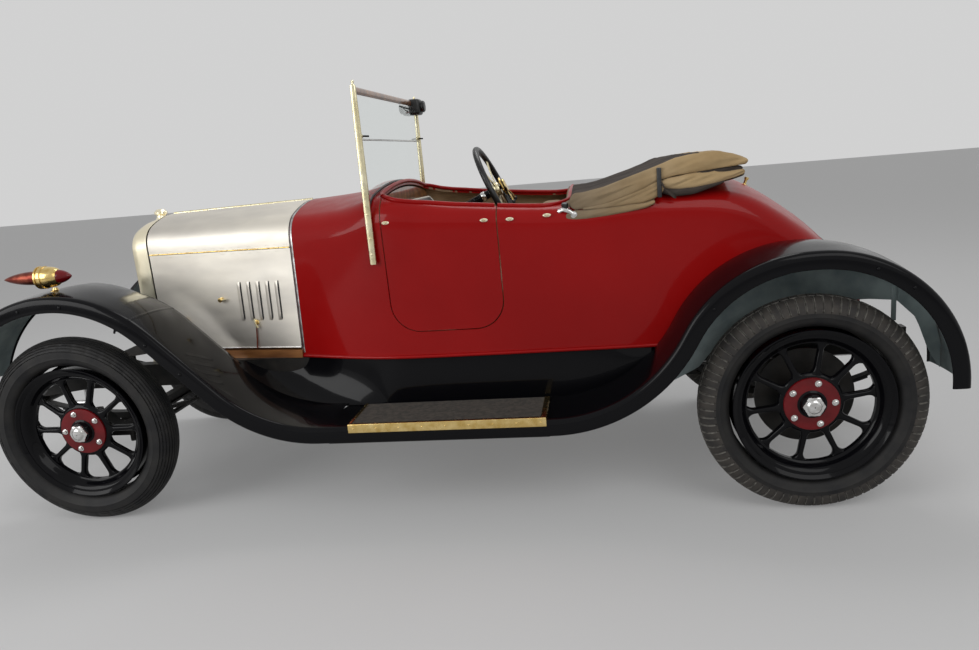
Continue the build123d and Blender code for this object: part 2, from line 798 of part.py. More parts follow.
# Chassis frame: two channel rails with curved front irons, cross members and spring eyes
RAIL_BOTTOM = FRAME_TOP - RAIL_HEIGHT
FRAME_END_X = REAR_AXLE_X - FRAME_REAR
front_iron_x = FRONT_AXLE_X + DUMB_IRON_REACH
REAR_EYE_Z = RAIL_BOTTOM - EYE_RADIUS - EYE_DROP
front_eye_rear_x = FRONT_AXLE_X - FRONT_SPRING_HALF
rear_eye_front_x = REAR_AXLE_X + REAR_SPRING_HALF
rear_eye_rear_x = REAR_AXLE_X - REAR_SPRING_HALF
rail_points = [
    (FRAME_END_X, FRAME_TOP),
    (front_iron_x - 250, FRAME_TOP),
    (front_iron_x + EYE_RADIUS, DUMB_IRON_Z + EYE_RADIUS + 24),
    (front_iron_x + EYE_RADIUS, DUMB_IRON_Z + EYE_RADIUS - 4),
    (front_iron_x - EYE_RADIUS, DUMB_IRON_Z + EYE_RADIUS - 4),
    (front_iron_x - 260, RAIL_BOTTOM),
    (FRAME_END_X, RAIL_BOTTOM),
]
rail_inner_y = RAIL_Y - RAIL_WIDTH / 2
tube_half = RAIL_Y + RAIL_WIDTH / 2 - RAIL_FLANGE + 1
tube_z = FRAME_TOP - CROSS_TUBE_RADIUS - 2
# Cross tubes: each has its place along the car, its height and half its length
CROSS_TUBES = [
    (front_iron_x, DUMB_IRON_Z, rail_inner_y + HANGER_PLATE / 2),
    (x_at(GEARBOX_BACK) - 40, tube_z, tube_half),
    (x_at(COCKPIT_REAR_BACK), tube_z, tube_half),
    (FRAME_END_X + CROSS_TUBE_RADIUS, tube_z, tube_half),
]
SPRING_HANGERS = [
    (front_iron_x, DUMB_IRON_Z),
    (front_eye_rear_x, DUMB_IRON_Z),
    (rear_eye_front_x, REAR_EYE_Z),
    (rear_eye_rear_x, REAR_EYE_Z),
]
with BuildPart() as chassis_frame:
    for side, sign in SIDES:
        low_y = sign * RAIL_Y - RAIL_WIDTH / 2
        high_y = sign * RAIL_Y + RAIL_WIDTH / 2
        add(side_profile(rail_points, [120, 30, 3, 3, 120], low_y, high_y))
        pocket_inner = sign * (rail_inner_y - 1)
        pocket_outer = sign * (RAIL_Y + RAIL_WIDTH / 2 - RAIL_FLANGE)
        add(
            box_between(
                FRAME_END_X + 60, front_iron_x - 270, pocket_inner, pocket_outer,
                RAIL_BOTTOM + RAIL_FLANGE, FRAME_TOP - RAIL_FLANGE,
            ),
            mode=Mode.SUBTRACT,
        )
        for hanger_x, hanger_z in SPRING_HANGERS:
            for plate_y in (low_y, high_y - HANGER_PLATE):
                add(
                    box_between(
                        hanger_x - EYE_RADIUS, hanger_x + EYE_RADIUS, plate_y, plate_y + HANGER_PLATE,
                        hanger_z - EYE_RADIUS, max(hanger_z + EYE_RADIUS, RAIL_BOTTOM + 2),
                    )
                )
    for tube_x, tube_height, half_length in CROSS_TUBES:
        add(cross_bar(tube_x, tube_height, CROSS_TUBE_RADIUS, half_length))
    add(
        box_between(
            x_at(RADIATOR_FRONT_BACK), x_at(BONNET_FRONT_BACK), -tube_half, tube_half,
            RAIL_BOTTOM + RAIL_FLANGE, RADIATOR_BOTTOM,
        )
    )
    bearing = side_profile(
        [
            (front_iron_x - 12, DUMB_IRON_Z),
            (front_iron_x - 12, HANDLE_Z + HANDLE_BEARING),
            (front_iron_x + 12, HANDLE_Z + HANDLE_BEARING),
            (front_iron_x + 12, DUMB_IRON_Z),
        ],
        4, -HANDLE_BEARING, HANDLE_BEARING,
    )
    add(bearing)
    handle_start = Vector(x_at(ENGINE_FRONT_BACK), 0, HANDLE_Z)
    handle_end = Vector(front_iron_x + HANDLE_CLEAR, 0, HANDLE_Z)
    add(rod_between(handle_start, handle_end, HANDLE_SHAFT + RUNNING_FIT), mode=Mode.SUBTRACT)
write(chassis_frame.part, "chassis_frame")

# Starting handle, below the radiator
with BuildPart() as starting_handle:
    add(rod_between(handle_start, handle_end, HANDLE_SHAFT))
    arm_low = handle_end - Vector(0, 0, HANDLE_THROW)
    add(rod_between(handle_end + Vector(0, 0, HANDLE_SHAFT), arm_low, HANDLE_SHAFT))
    grip_end = Vector(FRONT_AXLE_X + HANDLE_REACH, 0, arm_low.Z)
    add(rod_between(arm_low - Vector(HANDLE_SHAFT, 0, 0), grip_end, HANDLE_GRIP))
write(starting_handle.part, "starting_handle")


def leaf_spring(middle_x, middle_z, half_length, eye_z, y):
    # A half-elliptic spring: stacked curved leaves, the longest on top
    sag = eye_z - middle_z
    radius = (half_length ** 2 + sag ** 2) / (2 * sag)
    centre_z = middle_z + radius
    with BuildPart() as spring:
        for index in range(LEAF_COUNT):
            top = radius + index * LEAF_THICKNESS
            low = top + LEAF_THICKNESS
            reach = half_length - EYE_RADIUS - index * LEAF_STEP
            with BuildSketch(side_plane(y + LEAF_WIDTH / 2)):
                with BuildLine():
                    ends = []
                    for arc in (top, low):
                        drop = centre_z - sqrt(arc ** 2 - reach ** 2)
                        ends.append(drop)
                        ThreePointArc(
                            (middle_x - reach, drop), (middle_x, centre_z - arc), (middle_x + reach, drop)
                        )
                    Line((middle_x - reach, ends[0]), (middle_x - reach, ends[1]))
                    Line((middle_x + reach, ends[0]), (middle_x + reach, ends[1]))
                make_face()
            extrude(amount=LEAF_WIDTH)
        for end in (-1, 1):
            eye_x = middle_x + end * half_length
            with BuildSketch(Plane(origin=(eye_x, y + LEAF_WIDTH / 2, eye_z), x_dir=(1, 0, 0), z_dir=(0, -1, 0))):
                Circle(SPRING_EYE)
            extrude(amount=LEAF_WIDTH)
            clip_x = middle_x + end * (half_length - EYE_RADIUS * 2)
            clip_z = centre_z - sqrt(radius ** 2 - (half_length - EYE_RADIUS * 2) ** 2)
            add(
                rod_between(
                    Vector(clip_x, y, clip_z - LEAF_THICKNESS / 2), Vector(eye_x, y, eye_z), LEAF_THICKNESS / 2
                )
            )
    return spring.part


with BuildPart() as road_springs:
    for side, sign in SIDES:
        add(leaf_spring(FRONT_AXLE_X, BEAM_TOP + LEAF_COUNT * LEAF_THICKNESS, FRONT_SPRING_HALF,
                        DUMB_IRON_Z, sign * RAIL_Y))
        add(leaf_spring(REAR_AXLE_X, WHEEL_Z - AXLE_TUBE_RADIUS, REAR_SPRING_HALF,
                        REAR_EYE_Z, sign * RAIL_Y))
write(road_springs.part, "road_springs")


# Front axle: a dropped beam with a round boss at each end for the kingpin
boss_low = WHEEL_Z - KINGPIN_BOSS_HALF
boss_high = WHEEL_Z + KINGPIN_BOSS_HALF
beam_low = BEAM_TOP - BEAM_HEIGHT
boss_inner = KINGPIN_Y - KINGPIN_BOSS_RADIUS + 6
beam_points = [
    (-boss_inner, boss_high - 8),
    (-boss_inner + 30, boss_high - 8),
    (-BEAM_DROP_Y, BEAM_TOP),
    (BEAM_DROP_Y, BEAM_TOP),
    (boss_inner - 30, boss_high - 8),
    (boss_inner, boss_high - 8),
    (boss_inner, boss_low + 8),
    (BEAM_DROP_Y + 6, beam_low),
    (-BEAM_DROP_Y - 6, beam_low),
    (-boss_inner, boss_low + 8),
]
with BuildPart() as front_axle:
    with BuildSketch(cross_plane(FRONT_AXLE_X - BEAM_WIDTH / 2)):
        with BuildLine():
            Polyline(*beam_points, close=True)
        make_face()
    extrude(amount=BEAM_WIDTH)
    for side, sign in SIDES:
        with BuildSketch(level_plane(boss_low)):
            with Locations((FRONT_AXLE_X, sign * KINGPIN_Y)):
                Circle(KINGPIN_BOSS_RADIUS)
        extrude(amount=boss_high - boss_low)
        with BuildSketch(level_plane(boss_low - 1)):
            with Locations((FRONT_AXLE_X, sign * KINGPIN_Y)):
                Circle(KINGPIN_RADIUS + RUNNING_FIT)
        extrude(amount=boss_high - boss_low + 2, mode=Mode.SUBTRACT)
    for face in (-1, 1):
        web_x = FRONT_AXLE_X + face * BEAM_WIDTH / 2
        add(
            box_between(
                web_x - WEB_DEPTH, web_x + WEB_DEPTH, -BEAM_DROP_Y, BEAM_DROP_Y,
                beam_low + BEAM_FLANGE, BEAM_TOP - BEAM_FLANGE,
            ),
            mode=Mode.SUBTRACT,
        )
write(front_axle.part, "front_axle")

# Knuckles: an ear above and below the axle's boss, the kingpin, the stub axle and the steering arm
ear_gap = KNUCKLE_GAP
arm_top = boss_low - ear_gap
arm_low = arm_top - KNUCKLE_EAR
camber_lean = radians(CAMBER)


def wheel_plane(x, sign, lean):
    # The plane of a wheel: its middle, with its third axis pointing out along the stub axle
    return Plane(
        origin=(x, sign * TRACK / 2, WHEEL_Z),
        x_dir=(1, 0, 0),
        z_dir=(0, sign * cos(lean), -sin(lean)),
    )


for side, sign in SIDES:
    pin = (FRONT_AXLE_X, sign * KINGPIN_Y)
    hub_plane = wheel_plane(FRONT_AXLE_X, sign, camber_lean)
    with BuildPart() as knuckle:
        for low, high in ((arm_low, arm_top), (boss_high + ear_gap, boss_high + ear_gap + KNUCKLE_EAR)):
            with BuildSketch(level_plane(low)):
                with Locations(pin):
                    Circle(KINGPIN_BOSS_RADIUS)
            extrude(amount=high - low)
            add(
                box_between(
                    FRONT_AXLE_X - KINGPIN_BOSS_RADIUS, FRONT_AXLE_X + KINGPIN_BOSS_RADIUS,
                    sign * KINGPIN_Y, sign * (KINGPIN_Y + KNUCKLE_FACE), low, high,
                )
            )
        add(
            box_between(
                FRONT_AXLE_X - KINGPIN_BOSS_RADIUS, FRONT_AXLE_X + KINGPIN_BOSS_RADIUS,
                sign * (KINGPIN_Y + KINGPIN_BOSS_RADIUS + ear_gap), sign * (KINGPIN_Y + KNUCKLE_FACE),
                arm_low, boss_high + ear_gap + KNUCKLE_EAR,
            )
        )
        with BuildSketch(level_plane(arm_low)):
            with Locations(pin):
                Circle(KINGPIN_RADIUS)
        extrude(amount=boss_high + 2 * ear_gap + KNUCKLE_EAR - arm_low)
        with BuildSketch(hub_plane.offset(KINGPIN_Y + KNUCKLE_FACE - TRACK / 2 - 2)):
            Circle(STUB_RADIUS)
        extrude(amount=STUB_END - (KINGPIN_Y + KNUCKLE_FACE - TRACK / 2 - 2))
        ball = (FRONT_AXLE_X - STEER_ARM_LENGTH, sign * KINGPIN_Y)
        add(
            box_between(
                ball[0], FRONT_AXLE_X, ball[1] - STEER_ARM_WIDTH / 2, ball[1] + STEER_ARM_WIDTH / 2,
                arm_low, arm_top,
            )
        )
        with BuildSketch(level_plane(arm_low)):
            with Locations(ball):
                Circle(STEER_ARM_WIDTH / 2)
        extrude(amount=arm_top - arm_low)
        with BuildSketch(level_plane(arm_low - 1)):
            with Locations(ball):
                Circle(BALL_PIN_RADIUS + RUNNING_FIT)
        extrude(amount=arm_top - arm_low + 2, mode=Mode.SUBTRACT)
    write(knuckle.part, "knuckle_" + side)

ROD_Z = arm_low - ROD_RADIUS - ROD_EAR_GAP
with BuildPart() as track_rod:
    add(cross_bar(FRONT_AXLE_X - STEER_ARM_LENGTH, ROD_Z, ROD_RADIUS, KINGPIN_Y))
    for side, sign in SIDES:
        with BuildSketch(level_plane(ROD_Z - ROD_RADIUS - 1)):
            with Locations((FRONT_AXLE_X - STEER_ARM_LENGTH, sign * KINGPIN_Y)):
                Circle(STEER_ARM_WIDTH / 2)
        extrude(amount=2 * ROD_RADIUS + 2)
        with BuildSketch(level_plane(ROD_Z)):
            with Locations((FRONT_AXLE_X - STEER_ARM_LENGTH, sign * KINGPIN_Y)):
                Circle(BALL_PIN_RADIUS)
        extrude(amount=arm_top - ROD_Z)
write(track_rod.part, "track_rod")

# Steering column and its box, with the shaft that carries the wheel and its hand levers
with BuildPart() as steering_column:
    add(column_cylinder(COLUMN_RADIUS, -COLUMN_LENGTH, -COLUMN_TOP_GAP))
    add(column_cylinder(COLUMN_SHAFT, -COLUMN_TOP_GAP - 5, QUADRANT_UP + QUADRANT_THICKNESS))
    add(column_cylinder(QUADRANT_RADIUS, QUADRANT_UP, QUADRANT_UP + QUADRANT_THICKNESS))
    with BuildSketch(column_plane.offset(-COLUMN_LENGTH - 20)):
        Rectangle(BOX_WIDTH, BOX_HEIGHT)
    extrude(amount=BOX_LENGTH)
    with BuildSketch(column_plane.offset(QUADRANT_UP + QUADRANT_THICKNESS)):
        for angle in LEVER_ANGLES:
            with Locations(Location((0, 0), angle)):
                with Locations((LEVER_LENGTH / 2, 0)):
                    SlotOverall(LEVER_LENGTH + 14, 12)
    extrude(amount=LEVER_THICKNESS)
    box_middle = wheel_hub - column_direction * (COLUMN_LENGTH + 20 - BOX_LENGTH / 2)
    bracket_top = FRAME_TOP - RAIL_FLANGE - SEAT_GAP
    add(
        box_between(
            box_middle.X - BOX_BRACKET, box_middle.X + BOX_BRACKET, COLUMN_Y - BOX_WIDTH / 2,
            COLUMN_Y + BOX_WIDTH / 2, bracket_top - BOX_BRACKET, box_middle.Z,
        )
    )
    add(
        box_between(
            box_middle.X - BOX_BRACKET, box_middle.X + BOX_BRACKET, COLUMN_Y - BOX_WIDTH / 2,
            -RAIL_Y, bracket_top - BOX_BRACKET, bracket_top,
        )
    )
write(steering_column.part, "steering_column")

with BuildPart() as steering_wheel:
    add(column_cylinder(WHEEL_BOSS_RADIUS, -WHEEL_BOSS_HALF, WHEEL_BOSS_HALF))
    with BuildSketch(column_plane.offset(-WHEEL_SPOKE_THICKNESS / 2)):
        for index in range(WHEEL_SPOKES):
            with Locations(Location((0, 0), 45 + index * 360 / WHEEL_SPOKES)):
                with Locations((STEERING_WHEEL_RADIUS / 2, 0)):
                    Rectangle(STEERING_WHEEL_RADIUS, WHEEL_SPOKE_WIDTH)
    extrude(amount=WHEEL_SPOKE_THICKNESS)
    add(column_cylinder(COLUMN_SHAFT + RUNNING_FIT, -WHEEL_BOSS_HALF - 1, WHEEL_BOSS_HALF + 1),
        mode=Mode.SUBTRACT)
    rim = Torus(STEERING_WHEEL_RADIUS, STEERING_RIM_RADIUS, mode=Mode.PRIVATE)
    add(rim.moved(Location(column_plane)))
write(steering_wheel.part, "steering_wheel")

# Road wheel: hub, spokes flared at both ends, felloe and rim, about its own axis, outward along +Z
felloe_inner = RIM_RADIUS - FELLOE_DEPTH
spoke_side = [
    (HUB_FLANGE_RADIUS - 3, SPOKE_SLIM_HALF + 15),
    (HUB_FLANGE_RADIUS + 18, SPOKE_SLIM_HALF + 5),
    (HUB_FLANGE_RADIUS + 40, SPOKE_SLIM_HALF + 1),
    (felloe_inner - 42, SPOKE_SLIM_HALF),
    (felloe_inner - 18, SPOKE_SLIM_HALF + 5),
    (felloe_inner + 3, SPOKE_SLIM_HALF + 24),
]
with BuildSketch() as spoke_outline:
    with BuildLine():
        Spline(*spoke_side)
        Spline(*[(radius, -half) for radius, half in spoke_side])
        Line(spoke_side[0], (spoke_side[0][0], -spoke_side[0][1]))
        Line(spoke_side[-1], (spoke_side[-1][0], -spoke_side[-1][1]))
    make_face()

with BuildPart() as wheel_form:
    with BuildSketch(Plane.XZ):
        hub_back = HUB_INNER_END
        flange_out = SPOKE_OUTER + HUB_FLANGE_THICKNESS
        nose_out = flange_out + HUB_NOSE_LENGTH
        with BuildLine():
            Polyline(
                (0, hub_back),
                (HUB_BARREL_RADIUS, hub_back),
                (HUB_BARREL_RADIUS, SPOKE_INNER - HUB_FLANGE_THICKNESS),
                (HUB_FLANGE_RADIUS - 4, SPOKE_INNER - HUB_FLANGE_THICKNESS),
                (HUB_FLANGE_RADIUS - 4, SPOKE_OUTER),
                (HUB_FLANGE_RADIUS, SPOKE_OUTER),
                (HUB_FLANGE_RADIUS, flange_out),
                (HUB_NOSE_RADIUS, flange_out),
                (HUB_NOSE_RADIUS - 4, nose_out),
                (HUB_NUT_RADIUS, nose_out),
                (HUB_NUT_RADIUS, nose_out + HUB_NUT_LENGTH),
                (0, nose_out + HUB_NUT_LENGTH),
                close=True,
            )
        make_face()
    revolve(axis=Axis.Z)
    with BuildSketch(Plane.XY.offset(SPOKE_INNER)):
        with PolarLocations(0, SPOKE_COUNT):
            add(spoke_outline.sketch)
    extrude(amount=SPOKE_OUTER - SPOKE_INNER)
    with BuildSketch(Plane.XZ):
        seat_radius = RIM_RADIUS - RIM_THICKNESS
        flange_radius = RIM_RADIUS + RIM_FLANGE_HEIGHT
        with BuildLine():
            Polyline(
                (felloe_inner, -FELLOE_HALF_WIDTH),
                (seat_radius, -FELLOE_HALF_WIDTH),
                (seat_radius, -RIM_HALF_WIDTH),
                (flange_radius, -RIM_HALF_WIDTH),
                (flange_radius, -RIM_HALF_WIDTH + RIM_FLANGE_THICKNESS),
                (RIM_RADIUS, -RIM_HALF_WIDTH + RIM_FLANGE_THICKNESS),
                (RIM_RADIUS, RIM_HALF_WIDTH - RIM_FLANGE_THICKNESS),
                (flange_radius, RIM_HALF_WIDTH - RIM_FLANGE_THICKNESS),
                (flange_radius, RIM_HALF_WIDTH),
                (seat_radius, RIM_HALF_WIDTH),
                (seat_radius, FELLOE_HALF_WIDTH),
                (felloe_inner, FELLOE_HALF_WIDTH),
                close=True,
            )
        make_face()
    revolve(axis=Axis.Z)
    with BuildSketch(Plane.XY.offset(flange_out)):
        with PolarLocations(HUB_BOLT_CIRCLE / 2, HUB_BOLT_COUNT):
            RegularPolygon(HUB_BOLT_RADIUS, 6)
    extrude(amount=HUB_BOLT_RADIUS)
    with BuildSketch(Plane.XY.offset(hub_back - 1)):
        Circle(STUB_RADIUS + RUNNING_FIT)
    extrude(amount=STUB_END - hub_back + 2, mode=Mode.SUBTRACT)

# Rear brake drum, fused to the back of a rear wheel's hub, with ridges round it
with BuildPart() as drum_form:
    with BuildSketch(Plane.XZ):
        ridge_pitch = (DRUM_OUTER - DRUM_INNER) / (DRUM_RIDGE_COUNT + 1)
        with BuildLine():
            Polyline(
                (STUB_RADIUS + RUNNING_FIT, DRUM_OUTER),
                (DRUM_RADIUS, DRUM_OUTER),
                (DRUM_RADIUS, DRUM_INNER),
                (DRUM_RADIUS - DRUM_WALL, DRUM_INNER),
                (DRUM_RADIUS - DRUM_WALL, DRUM_OUTER - DRUM_WALL),
                (STUB_RADIUS + RUNNING_FIT, DRUM_OUTER - DRUM_WALL),
                close=True,
            )
        make_face()
        for index in range(DRUM_RIDGE_COUNT):
            ridge_z = DRUM_OUTER - (index + 1) * ridge_pitch
            with Locations((DRUM_RADIUS + DRUM_RIDGE / 2 - 0.5, ridge_z)):
                Rectangle(DRUM_RIDGE + 1, DRUM_RIDGE)
    revolve(axis=Axis.Z)

with BuildPart() as tyre_form:
    with BuildSketch(Plane.XZ):
        bead_radius = RIM_RADIUS + SEAT_GAP
        shoulder_radius = TYRE_RADIUS - TYRE_SHOULDER_DROP
        bulge_radius = TYRE_RADIUS - TYRE_BULGE_DROP
        with BuildLine():
            Line((bead_radius, -TYRE_BEAD_HALF), (bead_radius, TYRE_BEAD_HALF))
            ThreePointArc(
                (bead_radius, TYRE_BEAD_HALF), (bulge_radius, TYRE_HALF_WIDTH),
                (shoulder_radius, TYRE_SHOULDER_HALF),
            )
            ThreePointArc(
                (shoulder_radius, TYRE_SHOULDER_HALF), (TYRE_RADIUS, 0),
                (shoulder_radius, -TYRE_SHOULDER_HALF),
            )
            ThreePointArc(
                (shoulder_radius, -TYRE_SHOULDER_HALF), (bulge_radius, -TYRE_HALF_WIDTH),
                (bead_radius, -TYRE_BEAD_HALF),
            )
        make_face()
    revolve(axis=Axis.Z)

for end, axle_x, lean in (("front", FRONT_AXLE_X, camber_lean), ("rear", REAR_AXLE_X, 0)):
    for side, sign in SIDES:
        place = wheel_plane(axle_x, sign, lean).location
        with BuildPart() as wheel:
            add(wheel_form.part.moved(place))
            if end == "rear":
                add(drum_form.part.moved(place))
        write(wheel.part, "wheel_" + end + "_" + side)
        with BuildPart() as tyre:
            add(tyre_form.part.moved(place))
        write(tyre.part, "tyre_" + end + "_" + side)

# Rear axle: tube, final drive casing, brake back plates and the shafts that carry the wheels
drum_inner_y = TRACK / 2 + DRUM_INNER
with BuildPart() as rear_axle:
    add(cross_bar(REAR_AXLE_X, WHEEL_Z, AXLE_TUBE_RADIUS, drum_inner_y - HUB_FACE_GAP))
    add(cross_bar(REAR_AXLE_X, WHEEL_Z, STUB_RADIUS, TRACK / 2 + STUB_END))
    add(Sphere(DIFF_RADIUS, mode=Mode.PRIVATE).moved(Location((REAR_AXLE_X, 0, WHEEL_Z))))
    for side, sign in SIDES:
        plate_y = sign * (drum_inner_y - HUB_FACE_GAP - BACKPLATE / 2)
        with BuildSketch(Plane(origin=(REAR_AXLE_X, plate_y + BACKPLATE / 2, WHEEL_Z), x_dir=(1, 0, 0),
                               z_dir=(0, -1, 0))):
            Circle(DRUM_RADIUS - DRUM_WALL)
        extrude(amount=BACKPLATE)
write(rear_axle.part, "rear_axle")

# Engine and gearbox as one heavy block, the torque tube behind it and the exhaust beside it
engine_front = x_at(ENGINE_FRONT_BACK)
engine_rear = engine_front - ENGINE_LENGTH
with BuildPart() as engine:
    add(box_between(engine_rear, engine_front, -ENGINE_HALF_WIDTH, ENGINE_HALF_WIDTH, SUMP_BOTTOM, ENGINE_TOP))
    add(
        box_between(
            x_at(GEARBOX_BACK), engine_rear + 1, -GEARBOX_HALF_WIDTH, GEARBOX_HALF_WIDTH,
            SUMP_BOTTOM + 20, FRAME_TOP - 10,
        )
    )
    for arm_x in (engine_front - 80, engine_rear + 80):
        add(
            box_between(
                arm_x - 20, arm_x + 20, -RAIL_Y + RAIL_WIDTH / 2, RAIL_Y - RAIL_WIDTH / 2,
                RAIL_BOTTOM + 15, RAIL_BOTTOM + 45,
            )
        )
write(engine.part, "engine_and_gearbox")

tube_start = Vector(x_at(GEARBOX_BACK), 0, WHEEL_Z + TORQUE_TUBE_RISE)
tube_end = Vector(REAR_AXLE_X, 0, WHEEL_Z)
with BuildPart() as torque_tube:
    add(rod_between(tube_start, tube_end, TORQUE_TUBE_RADIUS, -TORQUE_TUBE_RADIUS, DIFF_RADIUS / 2))
    add(box_between(x_at(GEARBOX_BACK), x_at(GEARBOX_BACK) + 300, -200, 200, 0, 1000), mode=Mode.SUBTRACT)
    add(Sphere(DIFF_RADIUS, mode=Mode.PRIVATE).moved(Location((REAR_AXLE_X, 0, WHEEL_Z))),
        mode=Mode.SUBTRACT)
write(torque_tube.part, "torque_tube")

exhaust_x = engine_rear + 130
exhaust_points = [
    (exhaust_x, ENGINE_HALF_WIDTH, 800),
    (exhaust_x, EXHAUST_Y, 800),
    (exhaust_x, EXHAUST_Y, EXHAUST_Z),
    (REAR_AXLE_X - EXHAUST_END, EXHAUST_Y, EXHAUST_Z),
]
with BuildPart() as exhaust:
    with BuildLine() as exhaust_path:
        FilletPolyline(*exhaust_points, radius=[30, 70])
    with BuildSketch(Plane(origin=exhaust_points[0], z_dir=(0, 1, 0))):
        Circle(EXHAUST_RADIUS)
    sweep(path=exhaust_path.wires()[0])
    add(
        rod_between(
            Vector(x_at(SILENCER_BACK), EXHAUST_Y, EXHAUST_Z),
            Vector(x_at(SILENCER_BACK + SILENCER_LENGTH), EXHAUST_Y, EXHAUST_Z), SILENCER_RADIUS,
        )
    )
write(exhaust.part, "exhaust")


# Wings: one outline from the front tip, over the wheel, down to the board and up over the rear wheel
def wing_line(back, z):
    return (x_at(back), z)


sweep_slope = tan(radians(FRONT_WING_SLOPE))
rear_slope = tan(radians(REAR_WING_SLOPE))
front_foot_back = FRONT_WING_CREST + (WING_TOP - BOARD_Z) / sweep_slope
rear_foot_back = WHEELBASE - REAR_WING_CREST - (REAR_WING_TOP - BOARD_Z) / rear_slope
front_wing_line = [
    (FRONT_AXLE_X + WING_TIP_REACH, WING_TIP_Z),
    (FRONT_AXLE_X + WING_NOSE, WING_TOP),
    wing_line(FRONT_WING_CREST, WING_TOP),
    wing_line(front_foot_back, BOARD_Z),
    wing_line(FRONT_WING_END, BOARD_Z),
]
rear_wing_line = [
    wing_line(REAR_WING_START, BOARD_Z),
    wing_line(rear_foot_back, BOARD_Z),
    wing_line(WHEELBASE - REAR_WING_CREST, REAR_WING_TOP),
    (REAR_AXLE_X - REAR_REACH, REAR_WING_TOP),
    (REAR_AXLE_X - REAR_REACH, REAR_WING_TAIL_Z),
]
FRONT_WING_RADII = [WING_NOSE_RADIUS, WING_SWEEP_RADIUS, WING_SWEEP_RADIUS - 20]
REAR_WING_RADII = [REAR_WING_FOOT_RADIUS, REAR_WING_RADIUS, REAR_WING_TAIL_RADIUS]


def wing_band(points, radii, depth, y1, y2):
    # A band under the wing's outline, of a given depth, between two places across the car
    with BuildPart() as band:
        with BuildSketch(side_plane(max(y1, y2))):
            with BuildLine():
                FilletPolyline(*points, radius=radii)
                offset(amount=depth, side=Side.LEFT)
            make_face()
        extrude(amount=abs(y2 - y1))
    return band.part


def under_wing(points, radii, y1, y2, lift):
    # Everything from just above the wing's outline down to the ground
    with BuildPart() as block:
        with BuildSketch(side_plane(max(y1, y2))):
            with BuildLine():
                FilletPolyline(*[(x, z + lift) for x, z in points], radius=radii)
                Polyline(
                    (points[-1][0], points[-1][1] + lift), (points[-1][0], 0),
                    (points[0][0], 0), (points[0][0], points[0][1] + lift),
                )
            make_face()
        extrude(amount=abs(y2 - y1))
    return block.part


def splash_plate(sign):
    # The upright plate inside a rear wheel, hung from its wing and cut away over the axle
    outer = sign * SPLASH_Y
    inner = sign * (SPLASH_Y - WING_SKIN)
    with BuildPart() as kept:
        with BuildSketch(side_plane(max(inner, outer))):
            with BuildLine():
                Polyline(
                    *[(x_at(back), z) for back, z in SPLASH_EDGE],
                    (x_at(SPLASH_EDGE[-1][0]), TALL), (x_at(SPLASH_EDGE[0][0]), TALL), close=True,
                )
            make_face()
        extrude(amount=WING_SKIN)
    return under_wing(rear_wing_line, REAR_WING_RADII, inner, outer, -WING_SKIN / 2) & kept.part


WINGS = [
    ("front_wing", front_wing_line, FRONT_WING_RADII, FRONT_WING_INNER),
    ("rear_wing", rear_wing_line, REAR_WING_RADII, REAR_WING_INNER),
]
for name, line, radii, inner in WINGS:
    for side, sign in SIDES:
        with BuildPart() as wing:
            add(wing_band(line, radii, WING_SKIN, sign * inner, sign * WING_Y))
            add(wing_band(line, radii, WING_LIP, sign * (WING_Y - WING_SKIN), sign * WING_Y))
            if name == "rear_wing":
                add(splash_plate(sign))
                add(clear_form["tail"], mode=Mode.SUBTRACT)
                add(clear_form["cockpit"], mode=Mode.SUBTRACT)
        write(wing.part, name + "_" + side)

# Running boards with their step plates
BOARD_FRONT_X = x_at(FRONT_WING_END)
BOARD_REAR_X = x_at(REAR_WING_START)
with BuildPart() as running_boards:
    for side, sign in SIDES:
        add(
            box_between(
                BOARD_REAR_X, BOARD_FRONT_X, sign * BOARD_INNER, sign * WING_Y,
                BOARD_Z - BOARD_THICKNESS, BOARD_Z,
            )
        )
        add(
            box_between(
                BOARD_REAR_X, BOARD_FRONT_X, sign * (WING_Y - WING_SKIN), sign * WING_Y,
                BOARD_Z - WING_LIP, BOARD_Z,
            )
        )
write(running_boards.part, "running_boards")

with BuildPart() as step_plates:
    for side, sign in SIDES:
        add(
            box_between(
                x_at(STEP_REAR_BACK), x_at(STEP_FRONT_BACK), sign * (BOARD_INNER + STEP_MARGIN),
                sign * (WING_Y - STEP_EDGE), BOARD_Z, BOARD_Z + STEP_THICKNESS,
            )
        )
write(step_plates.part, "step_plates")

# Valances: the sheet between the frame and the running board, on each side
valance_points = [
    (VALANCE_TOP_Y, FRAME_TOP - SEAT_GAP),
    (VALANCE_TOP_Y + 14, FRAME_TOP - 40),
    (BOARD_INNER - VALANCE_FOOT, BOARD_Z + VALANCE_FOOT),
    (BOARD_INNER - 2, BOARD_Z),
]
with BuildPart() as valances:
    for side, sign in SIDES:
        with BuildSketch(cross_plane(x_at(VALANCE_REAR_BACK))):
            with BuildLine():
                FilletPolyline(*[(sign * y, z) for y, z in valance_points], radius=30)
                offset(amount=WING_SKIN, side=Side.RIGHT if sign > 0 else Side.LEFT)
            make_face()
        extrude(amount=VALANCE_REAR_BACK - VALANCE_FRONT_BACK)
    for line, radii in ((front_wing_line, FRONT_WING_RADII), (rear_wing_line, REAR_WING_RADII)):
        add(under_wing(line, radii, -WING_Y, WING_Y, SEAT_GAP), mode=Mode.SUBTRACT)
write(valances.part, "valances")

